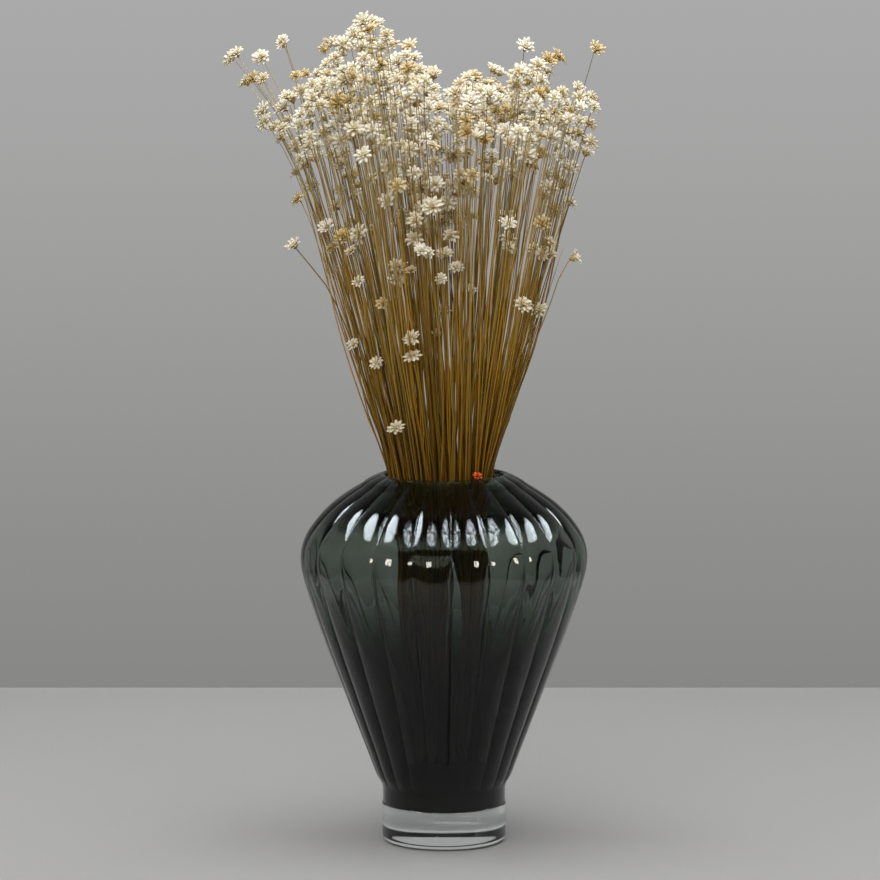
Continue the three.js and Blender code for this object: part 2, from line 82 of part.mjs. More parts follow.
  [[114,-21],[116,-24],[[0,0,125,-37,188,-34,3344,259,-30,4518,-7,34,94,47],[-9,6,95,-10,137,-1,3247,183,9,4323,31,-46,83,45],[-3,-11,96,-63,90,-58,3174,83,-53,4179,-26,-22,94,36],[-1,11,120,-8,175,34,3116,237,80,4061,17,-33,93,48],[6,-9,120,-57,175,-1,3090,258,32,4011,-33,-14,93,38],[8,8,139,17,229,77,3374,330,144,4577,53,35,77,46],[11,-1,141,-12,209,32,3385,286,83,4600,47,8,88,42],[-10,-4,98,-36,110,-16,3317,124,7,4464,-42,-20,88,49]]],
  [[199,-122],[214,-143],[[-5,10,233,-163,378,-339,3403,541,-537,4636,-14,-43,89,53],[-11,2,232,-181,369,-390,3295,523,-625,4420,24,-89,38,46],[0,0,250,-183,442,-436,3294,658,-720,4417,9,-81,58,33],[-8,-7,226,-198,382,-410,3204,557,-648,4238,20,-18,96,40],[9,-6,260,-197,354,-299,2708,461,-414,3246,25,-41,88,51],[1,-11,241,-213,422,-491,3315,627,-805,4460,-23,-80,56,38],[11,3,276,-167,485,-347,3248,721,-551,4326,37,-51,78,43],[4,10,253,-160,452,-319,3213,673,-485,4256,37,-75,55,0]]],
  [[240,-10],[256,-10],[[3,11,307,28,571,-28,3304,869,-92,4438,83,-31,47,42],[-7,-9,286,-13,516,-128,3294,813,-189,4418,40,-35,85,42],[-11,0,268,-22,488,-96,3262,737,-179,4353,46,-49,74,41],[10,5,307,14,564,-6,3227,854,-29,4284,50,-32,81,48],[0,0,307,-8,532,-60,3202,787,-119,4234,40,-27,87,46],[2,-11,312,-24,507,-57,3099,725,-111,4027,32,-34,89,51],[10,-5,308,-42,445,-56,2844,620,-127,3517,24,-15,96,42],[-7,9,289,7,543,-30,3178,829,-72,4185,54,-16,83,38]]],
  [[200,8],[218,14],[[11,-2,285,28,572,15,3443,894,0,4717,17,-46,87,53],[-11,-3,224,23,353,101,3349,498,188,4527,11,67,74,53],[9,7,265,26,424,57,3239,604,91,4309,20,-37,91,53],[-9,7,234,44,364,79,3106,510,119,4042,59,-5,81,54],[0,11,253,49,408,101,3131,583,160,4092,63,63,46,51],[-5,-10,249,-8,465,-66,3290,709,-132,4410,68,6,73,44],[5,-10,266,3,456,-22,3218,671,-51,4267,59,-32,74,50],[0,0,246,19,373,59,3195,515,103,4220,-42,-28,86,39]]],
  [[121,-144],[122,-163],[[-10,-4,88,-218,123,-317,3248,51,-246,4327,69,-28,66,54],[-2,11,116,-202,102,-229,3207,85,-261,4245,-2,-76,65,53],[7,8,154,-178,204,-282,3186,230,-381,4203,20,-39,90,51],[-10,5,101,-208,100,-218,3085,96,-240,4000,38,-36,85,47],[7,-9,139,-235,148,-247,2743,159,-260,3316,-8,-53,84,34],[0,0,136,-204,132,-292,3245,128,-392,4320,-16,-53,83,46],[-3,-11,113,-233,136,-349,3351,90,-428,4531,-11,-34,93,34],[11,0,160,-208,185,-360,3222,214,-531,4273,29,-29,91,45]]],
  [[118,90],[119,110],[[-2,-11,119,114,192,190,3284,274,276,4397,62,44,65,40],[7,-8,145,124,265,247,3239,400,387,4309,41,48,78,45],[-3,11,118,182,127,373,3283,137,588,4396,42,1,91,50],[11,0,148,153,236,315,3206,336,499,4242,-3,-24,97,48],[0,0,116,151,124,279,3123,133,424,4076,-28,69,67,44],[7,9,141,179,218,416,3101,306,684,4032,-30,30,91,36],[-10,5,94,172,99,252,3030,105,344,3890,10,37,92,42],[-10,-5,95,134,117,311,3328,142,510,4487,12,26,96,41]]],
  [[175,99],[187,121],[[6,-9,238,134,397,220,3141,576,317,4111,30,20,93,46],[-3,-11,195,135,326,270,3281,474,422,4391,-38,49,79,52],[-10,6,171,186,273,437,3083,389,721,3997,5,46,88,52],[-2,11,205,182,330,400,3213,470,646,4256,49,68,55,44],[11,-1,254,185,485,373,3240,747,586,4310,27,27,93,45],[8,8,231,176,394,365,3222,578,578,4274,26,29,92,48],[0,0,210,156,418,284,3299,652,429,4429,28,23,93,43],[-10,-4,180,162,324,352,3211,488,565,4253,49,48,73,50]]],
  [[234,-72],[250,-81],[[9,7,304,-80,528,-184,3238,781,-302,4305,-43,-40,81,44],[11,-3,306,-103,521,-168,3177,861,-196,4184,49,-61,62,42],[0,0,287,-92,498,-203,3175,721,-370,4180,58,-22,78,49],[-8,7,270,-77,462,-202,3136,677,-343,4103,21,-60,77,40],[5,-10,293,-137,489,-233,2889,619,-327,3608,79,24,56,43],[0,11,311,-63,612,-51,3280,878,-153,4389,37,-28,89,44],[-5,-10,288,-118,543,-237,3311,782,-422,4453,46,-74,49,44],[-11,-2,268,-107,420,-189,2850,567,-297,3530,39,-49,78,40]]],
  [[158,3],[174,1],[[-11,1,160,4,254,29,3282,360,57,4394,-2,-53,85,41],[4,10,195,27,313,148,3132,435,296,4093,2,19,98,35],[-6,10,179,19,287,49,3080,409,83,3990,24,16,96,50],[-8,-8,181,-4,269,39,2953,368,88,3735,-30,-15,94,53],[1,-11,200,-11,312,42,3215,439,101,4260,15,6,99,53],[11,3,225,-2,366,35,3369,526,77,4568,5,-53,85,42],[0,0,204,9,322,59,3260,456,115,4349,-31,32,89,48],[9,-6,228,-23,383,-73,3316,557,-130,4463,46,-35,81,49]]],
  [[122,-187],[124,-215],[[-11,2,96,-282,81,-311,3323,64,-344,4475,19,-49,85,45],[1,-11,124,-296,139,-477,3299,155,-681,4428,11,-49,87,54],[-6,10,96,-254,95,-310,3289,72,-375,4407,3,-49,87,43],[-8,-8,99,-306,115,-419,3210,133,-546,4251,-22,-59,77,49],[11,3,179,-266,182,-429,3200,185,-613,4230,17,11,98,39],[9,-6,150,-286,156,-408,3087,162,-545,4003,-16,-83,53,42],[0,0,124,-265,126,-397,3274,127,-544,4377,30,-65,70,42],[4,10,153,-261,155,-392,3150,157,-541,4129,22,-86,47,0]]],
  [[219,81],[240,96],[[7,-9,303,101,563,159,3154,785,202,4139,-22,-13,97,38],[-10,-5,263,123,456,196,3147,674,278,4124,72,38,58,46],[7,9,281,150,465,212,3069,671,283,3968,79,-19,58,50],[-2,11,273,170,426,247,3002,599,333,3835,27,58,77,35],[-3,-11,278,104,433,162,3071,608,227,3972,71,-36,61,45],[11,0,298,118,561,156,3303,856,200,4436,33,19,93,45],[-10,5,251,154,457,295,3256,689,455,4342,37,45,81,44],[0,0,293,134,479,125,2855,706,114,3540,-7,25,97,0]]],
  [[206,-38],[225,-44],[[5,-10,274,-59,511,-199,3335,778,-357,4500,62,-23,75,44],[-5,10,247,-34,400,-108,3268,573,-192,4365,13,-12,98,42],[-6,-9,253,-65,446,-118,3240,681,-369,4309,44,-67,60,44],[0,0,265,-47,429,-124,3040,615,-211,3911,32,-25,91,50],[-11,1,239,-56,375,-138,2865,534,-225,3560,-20,-32,92,43],[11,-1,290,-66,487,-116,2837,758,-185,3505,79,43,43,51,635,-154,3264],[6,9,292,-50,355,-122,2681,559,-133,3191,-46,-48,75,46]]],
  [[188,51],[199,64],[[11,0,248,95,450,170,3420,678,254,4670,69,9,72,57],[0,0,219,78,368,156,3328,536,244,4487,23,-11,97,34],[-6,10,216,132,357,284,3320,614,383,4470,49,63,60,36],[-11,0,206,100,334,151,3134,478,210,4098,23,20,95,49],[6,-10,241,70,383,199,3372,568,157,4574,56,35,75,44],[-5,-10,213,52,361,117,3289,528,191,4407,2,54,84,44],[5,10,230,108,408,185,3379,608,272,4587,8,25,96,47]]],
  [[126,-62],[132,-73],[[11,0,174,-93,278,-216,3311,395,-355,4452,-16,-66,73,39],[5,-10,154,-116,257,-83,3105,340,-234,4040,5,-10,99,43],[6,9,151,-64,199,-90,3073,253,-119,3976,25,13,96,37],[-11,0,96,-91,124,-111,3034,156,-133,3898,-32,-47,82,51],[0,0,141,-89,226,-177,3304,321,-277,4437,10,-59,80,39],[-5,10,127,-77,150,-102,3366,176,-130,4562,29,-26,92,46],[-6,-9,122,-100,164,-167,3286,210,-243,4402,10,-31,94,41]]],
  [[110,-102],[116,-115],[[3,-11,127,-172,130,-235,3368,134,-306,4566,10,-42,90,37],[-3,11,106,-119,172,-222,3324,223,-296,4478,39,-26,88,50],[11,-2,150,-150,213,-250,3236,252,-341,4303,46,-23,86,46],[-11,2,134,-164,136,-184,3058,113,-182,3946,15,-19,97,46],[-8,-8,100,-151,65,-43,3319,39,-113,4468,-48,-20,85,48],[8,8,134,-131,204,-199,3143,274,-282,4117,-13,10,99,38],[0,0,118,-145,169,-220,3268,226,-306,4367,21,-64,74,41]]],
  [[230,39],[246,49],[[2,-11,295,54,542,36,3141,838,15,4111,-6,3,100,46],[8,7,314,83,531,64,2994,744,38,3818,30,-32,90,41],[0,0,275,65,444,143,2971,646,66,3772,37,-77,53,48],[11,-3,307,62,530,87,3096,755,57,4023,27,-28,92,46],[-11,3,284,84,483,94,3273,709,123,4376,-34,51,79,40],[-2,11,291,90,474,96,3042,706,126,3914,27,65,71,52],[-8,-7,275,47,484,37,3196,720,27,4223,29,-37,88,47]]],
  [[154,-101],[168,-113],[[-6,9,176,-121,306,-250,3387,452,-395,4603,43,-44,79,49],[11,1,213,-156,334,-349,3272,509,-426,4375,-27,5,96,40],[-11,-1,173,-144,253,-266,3210,355,-387,4250,-7,-65,75,49],[0,0,196,-121,267,-168,2893,376,-194,3617,24,-38,89,47],[6,-9,199,-163,289,-260,2876,380,-402,3582,29,-31,90,37],[5,10,193,-109,318,-229,3296,458,-365,4422,84,-17,51,38],[-5,-10,176,-169,251,-240,3049,336,-320,3927,18,-49,85,0]]],
];

// One loose short stem at the front with a tiny red bud, standing by itself
const RED_BUD = {
  path: [[26.47, -9.5, STEM_FOOT], [21.39, -29.63, TIE_Z], [18.61, -28.42, NECK_Z], [19.4, -30.2, 221.8]],
  radius: 0.5, centre: [19.6, -30.6, 223.2], facing: [0.1, -0.55, 0.83], budRadius: 2.4,
};

// ---------------------------------------------------------------- materials
const smokedGlass = new THREE.MeshStandardMaterial({ color: 0x1f2422, roughness: 0.05, metalness: 0 });
const clearGlass = new THREE.MeshStandardMaterial({ color: 0xd8dedd, roughness: 0.04, metalness: 0 });
const redBud = new THREE.MeshStandardMaterial({ color: 0xc23a12, roughness: 0.8, metalness: 0 });
const tuftMaterial = (i) => new THREE.MeshStandardMaterial({
  color: new THREE.Color().setHSL(0.115 + 0.006 * (i % 4), 0.42, 0.40 + 0.03 * (i % 3)), roughness: 0.85, metalness: 0,
});

// ---------------------------------------------------------------- vase
const turn = (geometry) => geometry.rotateX(Math.PI / 2); // lathe axis Y -> Z, bearing 0 faces -Y

function ribbed(profile, segments, start) {
  const points = profile.map(([r, z]) => new THREE.Vector2(r, z));
  const geometry = new THREE.LatheGeometry(points, segments, start, Math.PI * 2);
  const p = geometry.attributes.position;
  for (let i = 0; i <= segments; i++) {
    const k = i % STEPS_PER_FLUTE;
    const t = k === 0 ? 1 : Math.abs(1 - (2 * k) / STEPS_PER_FLUTE); // 1 in the crease, 0 on the crest
    for (let j = 0; j < profile.length; j++) {
      const n = i * profile.length + j;
      const [r, , depth] = profile[j];
      if (!depth) continue;
      const s = (r - depth * t * t) / r;
      p.setX(n, p.getX(n) * s);
      p.setZ(n, p.getZ(n) * s);
    }
  }
  return turn(geometry);
}

const bodyProfile = [[0, FOOT_H + GLASS_GAP, 0], ...OUTER, ...INNER, [0, CAVITY_FLOOR, 0]];
const bodyGeometry = ribbed(bodyProfile, FLUTES * STEPS_PER_FLUTE, THREE.MathUtils.degToRad(CREASE_DEG));

const footGeometry = turn(new THREE.LatheGeometry([
  [0, 0], [35.7, 0], [36.9, 1.0], [FOOT_R, 3.0], [FOOT_R, FOOT_H - 1.0], [36.5, FOOT_H], [0, FOOT_H],
].map(([r, z]) => new THREE.Vector2(r, z)), 44));

// ---------------------------------------------------------------- stems and flowers
const V = (a) => new THREE.Vector3(a[0], a[1], a[2]);
const tenths = (a) => V(a).multiplyScalar(0.1);

// Two axes across a direction, the first as near as possible to `like`
function across(d, like) {
  const side = like.clone().addScaledVector(d, -like.dot(d)).normalize();
  return [side, new THREE.Vector3().crossVectors(d, side).normalize()];
}

// Adds a tube through rings of points, [{ centre, direction, radius, sides }], to a mesh under
// construction. A ring has as many sides as the ring before it, or twice as many. The tube
// ends in the point `apex`, or flat without one. Its first ring stays open. Returns that ring.
function addTube(mesh, rings, apex) {
  const { verts, faces } = mesh;
  let side = new THREE.Vector3(1, 0, 0); // carried along from ring to ring, so the tube doesn't twist
  const ids = rings.map(({ centre, direction, radius, sides }) => {
    const [a, b] = across(direction, side);
    side = a;
    return Array.from({ length: sides }, (_, k) => {
      const w = (2 * Math.PI * k) / sides;
      verts.push(centre.clone().addScaledVector(a, radius * Math.cos(w)).addScaledVector(b, radius * Math.sin(w)));
      return verts.length - 1;
    });
  });
  for (let r = 0; r + 1 < ids.length; r++) {
    const lo = ids[r], hi = ids[r + 1], n = lo.length;
    for (let k = 0; k < n; k++) {
      const l0 = lo[k], l1 = lo[(k + 1) % n];
      if (hi.length === n) {
        const h0 = hi[k], h1 = hi[(k + 1) % n];
        faces.push([l0, l1, h1], [l0, h1, h0]);
      } else {
        const h0 = hi[2 * k], h1 = hi[2 * k + 1], h2 = hi[(2 * k + 2) % hi.length];
        faces.push([l0, h1, h0], [l0, l1, h1], [l1, h2, h1]);
      }
    }
  }
  const last = ids[ids.length - 1];
  if (apex) {
    verts.push(apex);
    last.forEach((v, k) => faces.push([v, last[(k + 1) % last.length], verts.length - 1]));
  } else {
    for (let k = 1; k + 1 < last.length; k++) faces.push([last[0], last[k], last[k + 1]]);
  }
  return ids[0];
}

// Closes the flat area between an outer ring and the rings inside it, facing up or down
function addCap(mesh, outer, inner, facingUp) {
  const { verts, faces } = mesh;
  const flat = (ring) => ring.map((v) => new THREE.Vector2(verts[v].x, verts[v].y));
  const ids = [...outer, ...inner.flat()];
  for (const [i, j, k] of THREE.ShapeUtils.triangulateShape(flat(outer), inner.map(flat))) {
    const [p, q, r] = [ids[i], ids[j], ids[k]].map((v) => verts[v]);
    const up = (q.x - p.x) * (r.y - p.y) - (q.y - p.y) * (r.x - p.x) > 0;
    faces.push(up === facingUp ? [ids[i], ids[j], ids[k]] : [ids[i], ids[k], ids[j]]);
  }
}

function geometryOf({ verts, faces }) {
  const geometry = new THREE.BufferGeometry();
  geometry.setAttribute('position', new THREE.Float32BufferAttribute(verts.flatMap((v) => [v.x, v.y, v.z]), 3));
  geometry.setIndex(faces.flat());
  geometry.computeVertexNormals();
  return geometry;
}

// Rings along a path, each square to the path there
function pathRings(points, radii, sides) {
  return points.map((centre, i) => {
    const before = points[Math.max(0, i - 1)], after = points[Math.min(points.length - 1, i + 1)];
    return { centre, direction: after.clone().sub(before).normalize(), radius: radii[i], sides };
  });
}

const UP = new THREE.Vector3(0, 0, 1);

function addStem(mesh, row, tie) {
  const [ox, oy, qx, qy, mx, my, mz, hx, hy, hz, nx, ny, nz, R] = row;
  const upper = row.length > 14 ? [tenths(row.slice(14))] : [];
  const centre = tenths([hx, hy, hz]);
  const facing = V([nx, ny, nz]).normalize();
  const start = new THREE.Vector3(tie.x + ox / 10, tie.y + oy / 10, TIE_Z);
  const mouth = new THREE.Vector3(qx / 10, qy / 10, NECK_Z);
  const tip = R ? centre.clone().addScaledVector(facing, -HEAD_DOWN) : centre;
  const points = [start, mouth, tenths([mx, my, mz]), ...upper, tip];
  const radii = [STEM_R.tie, STEM_R.neck, STEM_R.mid, ...upper.map(() => STEM_R.upper), STEM_R.tip];
  const rings = pathRings(points, radii, 3);
  rings[0].direction = UP; // the stem leaves the bunched part at its level top
  if (!R) return addTube(mesh, rings);
  rings[rings.length - 1].direction = rings[rings.length - 1].direction.clone().add(facing).normalize();
  rings.push({ centre, direction: facing, radius: (R / 10) * HEAD_R_SHARE, sides: 6 });
  return addTube(mesh, rings, centre.clone().addScaledVector(facing, HEAD_UP));
}

// One tuft: its stems bunched as one from the cut ends up to TIE_Z, then each by itself
function tuftGeometry([foot, waist, stems]) {
  const mesh = { verts: [], faces: [] };
  const low = new THREE.Vector3(foot[0] / 10, foot[1] / 10, STEM_FOOT);
  const tie = new THREE.Vector3(waist[0] / 10, waist[1] / 10, TIE_Z);
  const holes = stems.map((row) => addStem(mesh, row, tie));
  const rim = [low, tie].map((centre) => Array.from({ length: 6 }, (_, k) => {
    const w = (Math.PI * k) / 3;
    mesh.verts.push(new THREE.Vector3(centre.x + BUNDLE_R * Math.cos(w), centre.y + BUNDLE_R * Math.sin(w), centre.z));
    return mesh.verts.length - 1;
  }));
  for (let k = 0; k < 6; k++) {
    const [a, b] = [rim[0][k], rim[0][(k + 1) % 6]], [c, d] = [rim[1][k], rim[1][(k + 1) % 6]];
    mesh.faces.push([a, b, d], [a, d, c]);
  }
  addCap(mesh, rim[0], [], false);
  addCap(mesh, rim[1], holes, true);
  return geometryOf(mesh);
}

// ---------------------------------------------------------------- assembly
const part = new THREE.Group();

function piece(name, geometry, material, parent) {
  const mesh = new THREE.Mesh(geometry, material);
  mesh.name = name;
  parent.add(mesh);
}

const vase = new THREE.Group();
part.add(vase);
piece('vase_foot', footGeometry, clearGlass, vase);
piece('vase_body', bodyGeometry, smokedGlass, vase);

const bunch = new THREE.Group();
part.add(bunch);
TUFTS.forEach((tuft, i) => {
  piece(`glixia_tuft_${String(i + 1).padStart(2, '0')}`, tuftGeometry(tuft), tuftMaterial(i), bunch);
});

const budMesh = { verts: [], faces: [] };
const budFacing = V(RED_BUD.facing).normalize();
const budCentre = V(RED_BUD.centre);
const budRings = pathRings(RED_BUD.path.map(V), [RED_BUD.radius, RED_BUD.radius, RED_BUD.radius, 0.35], 4);
budRings[0].direction = UP;
budRings.push({ centre: budCentre, direction: budFacing, radius: RED_BUD.budRadius * HEAD_R_SHARE, sides: 8 });
const budFoot = addTube(budMesh, budRings, budCentre.clone().addScaledVector(budFacing, 1.3));
addCap(budMesh, budFoot, [], false);
piece('red_bud_stem', geometryOf(budMesh), redBud, bunch);

export default part;
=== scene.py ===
# A vase of dried glixia: a smoked, ribbed glass vase on a clear glass foot, holding
# a few hundred thin golden stems, each with one small cream star of papery bracts.
# Metres, +Z up, the vase's axis on Z and its foot on z = 0; the front is towards -Y.
import math

import bpy
import numpy as np
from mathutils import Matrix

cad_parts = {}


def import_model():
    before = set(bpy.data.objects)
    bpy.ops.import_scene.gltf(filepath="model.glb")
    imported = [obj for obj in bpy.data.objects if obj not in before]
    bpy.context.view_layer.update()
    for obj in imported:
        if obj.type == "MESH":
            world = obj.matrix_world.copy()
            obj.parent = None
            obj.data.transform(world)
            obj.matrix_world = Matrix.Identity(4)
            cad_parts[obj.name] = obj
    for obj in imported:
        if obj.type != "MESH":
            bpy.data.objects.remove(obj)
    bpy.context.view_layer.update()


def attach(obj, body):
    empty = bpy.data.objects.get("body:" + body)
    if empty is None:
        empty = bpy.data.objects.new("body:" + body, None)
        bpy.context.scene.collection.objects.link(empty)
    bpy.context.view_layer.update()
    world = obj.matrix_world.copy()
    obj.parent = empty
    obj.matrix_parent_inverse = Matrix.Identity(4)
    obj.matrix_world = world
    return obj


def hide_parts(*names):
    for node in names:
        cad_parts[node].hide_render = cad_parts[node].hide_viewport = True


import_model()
scene = bpy.context.scene
MM = 0.001

# ---------------------------------------------------------------- camera
cam_data = bpy.data.cameras.new("camera")
cam_data.sensor_fit = "HORIZONTAL"
cam_data.sensor_width = 36.0
cam_data.lens = 173.2
cam_data.clip_start, cam_data.clip_end = 0.05, 60.0
camera = bpy.data.objects.new("camera", cam_data)
scene.collection.objects.link(camera)
camera.location = (-0.0024, -2.5, 0.520)
camera.rotation_euler = (math.radians(90 - 6.37), 0.0, 0.0)
scene.camera = camera
scene.view_settings.view_transform = "Standard"
scene.view_settings.look = "None"
scene.view_settings.exposure = 0.0
scene.view_settings.gamma = 1.0


# ---------------------------------------------------------------- mesh helper
def make_piece(name, verts, faces, materials, face_mat=None, tone=None, smooth=True):
    """verts (n,3) in metres; faces a list of (m,k) index arrays with k 3 or 4; face_mat one array per face list;
    tone (n,3): position along the part, its own shade and its age (on low flower heads partly painted shade), as a
    colour attribute."""
    mesh = bpy.data.meshes.new(name)
    verts = np.asarray(verts, np.float32)
    mesh.vertices.add(len(verts))
    mesh.vertices.foreach_set("co", verts.ravel())
    loops = np.concatenate([np.asarray(f, np.int32).ravel() for f in faces])
    sizes = np.concatenate([np.full(len(f), np.asarray(f).shape[1], np.int32) for f in faces])
    starts = np.concatenate([[0], np.cumsum(sizes)[:-1]]).astype(np.int32)
    mesh.loops.add(len(loops))
    mesh.loops.foreach_set("vertex_index", loops)
    mesh.polygons.add(len(sizes))
    mesh.polygons.foreach_set("loop_start", starts)
    mesh.polygons.foreach_set("loop_total", sizes)
    for m in materials:
        mesh.materials.append(m)
    if face_mat is not None:
        mesh.polygons.foreach_set("material_index", np.concatenate(face_mat).astype(np.int32))
    mesh.update(calc_edges=True)
    mesh.validate()
    mesh.polygons.foreach_set("use_smooth", np.full(len(mesh.polygons), smooth))
    if tone is not None:
        layer = mesh.color_attributes.new("tone", "FLOAT_COLOR", "POINT")
        rgba = np.ones((len(verts), 4), np.float32)
        rgba[:, :3] = tone
        layer.data.foreach_set("color", rgba.ravel())
    mesh.update()
    obj = bpy.data.objects.new(name, mesh)
    scene.collection.objects.link(obj)
    return obj


# ---------------------------------------------------------------- materials
def new_material(name):
    mat = bpy.data.materials.new(name)
    mat.use_nodes = True
    nt = mat.node_tree
    nt.nodes.clear()
    out = nt.nodes.new("ShaderNodeOutputMaterial")
    return mat, nt, out


def ramp(nt, factor, stops, interpolation="LINEAR"):
    node = nt.nodes.new("ShaderNodeValToRGB")
    node.color_ramp.interpolation = interpolation
    els = node.color_ramp.elements
    while len(els) < len(stops):
        els.new(0.5)
    for e, (p, c) in zip(els, stops):
        e.position = p
        e.color = (*c, 1.0)
    nt.links.new(factor, node.inputs["Fac"])
    return node.outputs["Color"]


def mix_colour(nt, factor, a, b, mode="MIX"):
    node = nt.nodes.new("ShaderNodeMix")
    node.data_type = "RGBA"
    node.blend_type = mode
    node.clamp_factor = True
    for sock, v in ((node.inputs[0], factor), (node.inputs[6], a), (node.inputs[7], b)):
        if isinstance(v, bpy.types.NodeSocket):
            nt.links.new(v, sock)
        elif isinstance(v, tuple):
            sock.default_value = (*v, 1.0)
        else:
            sock.default_value = v
    return node.outputs[2]


def maths(nt, op, a, b=None, c=None):
    node = nt.nodes.new("ShaderNodeMath")
    node.operation = op
    for i, v in enumerate((a, b, c)):
        if v is None:
            continue
        if isinstance(v, bpy.types.NodeSocket):
            nt.links.new(v, node.inputs[i])
        else:
            node.inputs[i].default_value = v
    return node.outputs[0]


def tones(nt):
    """The three numbers of the tone attribute: along, shade, age; on low flower heads the age also carries painted
    shade.
    """
    attr = nt.nodes.new("ShaderNodeAttribute")
    attr.attribute_type = "GEOMETRY"
    attr.attribute_name = "tone"
    sep = nt.nodes.new("ShaderNodeSeparateColor")
    nt.links.new(attr.outputs["Color"], sep.inputs["Color"])
    return sep.outputs[0], sep.outputs[1], sep.outputs[2]


def noise(nt, scale, detail=3.0, stretch=(1, 1, 1), rough=0.5):
    co = nt.nodes.new("ShaderNodeTexCoord")
    mp = nt.nodes.new("ShaderNodeMapping")
    mp.inputs["Scale"].default_value = stretch
    nt.links.new(co.outputs["Object"], mp.inputs["Vector"])
    n = nt.nodes.new("ShaderNodeTexNoise")
    n.inputs["Scale"].default_value = scale
    n.inputs["Detail"].default_value = detail
    n.inputs["Roughness"].default_value = rough
    nt.links.new(mp.outputs["Vector"], n.inputs["Vector"])
    return n.outputs["Fac"]


def bump(nt, height, strength, distance):
    b = nt.nodes.new("ShaderNodeBump")
    b.inputs["Strength"].default_value = strength
    b.inputs["Distance"].default_value = distance
    nt.links.new(height, b.inputs["Height"])
    return b.outputs["Normal"]


def papery(nt, out, colour, roughness, thin, normal=None, specular=0.3):
    """A dry papery surface that lets some light through."""
    p = nt.nodes.new("ShaderNodeBsdfPrincipled")
    nt.links.new(colour, p.inputs["Base Color"])
    p.inputs["Roughness"].default_value = roughness
    p.inputs["Specular IOR Level"].default_value = specular
    if normal is not None:
        nt.links.new(normal, p.inputs["Normal"])
    if thin <= 0:
        nt.links.new(p.outputs[0], out.inputs["Surface"])
        return p
    t = nt.nodes.new("ShaderNodeBsdfTranslucent")
    nt.links.new(colour, t.inputs["Color"])
    mix = nt.nodes.new("ShaderNodeMixShader")
    mix.inputs[0].default_value = thin
    nt.links.new(p.outputs[0], mix.inputs[1])
    nt.links.new(t.outputs[0], mix.inputs[2])
    nt.links.new(mix.outputs[0], out.inputs["Surface"])
    return p


def bract_material():
    mat, nt, out = new_material("glixia_bract")
    along, shade, age = tones(nt)
    fresh = ramp(nt, along, [(0.0, (0.78, 0.64, 0.28)), (0.20, (0.89, 0.80, 0.54)), (0.45, (0.94, 0.89, 0.73)), (1.0, (0.965, 0.93, 0.87))])
    old = ramp(nt, along, [(0.0, (0.58, 0.32, 0.06)), (0.4, (0.72, 0.53, 0.19)), (1.0, (0.83, 0.70, 0.38))])
    c = mix_colour(nt, age, fresh, old)
    v = maths(nt, "MULTIPLY_ADD", shade, 0.20, 0.86)
    grain = noise(nt, 900.0, 3.0)
    v2 = maths(nt, "MULTIPLY_ADD", grain, 0.16, 0.92)
    vv = maths(nt, "MULTIPLY", v, v2)
    hsv = nt.nodes.new("ShaderNodeHueSaturation")
    nt.links.new(c, hsv.inputs["Color"])
    nt.links.new(vv, hsv.inputs["Value"])
    sat = maths(nt, "MULTIPLY_ADD", shade, -0.30, 1.12)
    nt.links.new(sat, hsv.inputs["Saturation"])
    nrm = bump(nt, grain, 0.25, 0.0001)
    papery(nt, out, hsv.outputs["Color"], 0.7, 0.53, nrm, 0.10)
    return mat


def floret_material():
    mat, nt, out = new_material("glixia_florets")
    along, shade, age = tones(nt)
    fresh = ramp(nt, shade, [(0.0, (0.62, 0.46, 0.12)), (0.5, (0.74, 0.60, 0.22)), (1.0, (0.82, 0.72, 0.38))])
    c = mix_colour(nt, age, fresh, (0.34, 0.20, 0.05))
    grain = noise(nt, 1400.0, 2.0)
    hsv = nt.nodes.new("ShaderNodeHueSaturation")
    nt.links.new(c, hsv.inputs["Color"])
    nt.links.new(maths(nt, "MULTIPLY_ADD", grain, 0.5, 0.72), hsv.inputs["Value"])
    papery(nt, out, hsv.outputs["Color"], 0.75, 0.0, bump(nt, grain, 0.5, 0.0001), 0.2)
    return mat


def calyx_material():
    mat, nt, out = new_material("glixia_calyx")
    along, shade, age = tones(nt)
    base = ramp(nt, along, [(0.0, (0.30, 0.16, 0.030)), (0.45, (0.55, 0.33, 0.075)), (1.0, (0.75, 0.55, 0.20))])
    olive = ramp(nt, along, [(0.0, (0.25, 0.19, 0.05)), (0.5, (0.48, 0.38, 0.12)), (1.0, (0.70, 0.58, 0.26))])
    c = mix_colour(nt, shade, base, olive)
    grain = noise(nt, 1100.0, 2.0)
    hsv = nt.nodes.new("ShaderNodeHueSaturation")
    nt.links.new(c, hsv.inputs["Color"])
    nt.links.new(maths(nt, "MULTIPLY_ADD", grain, 0.4, 0.8), hsv.inputs["Value"])
    papery(nt, out, hsv.outputs["Color"], 0.6, 0.15, bump(nt, grain, 0.4, 0.0001), 0.15)
    return mat


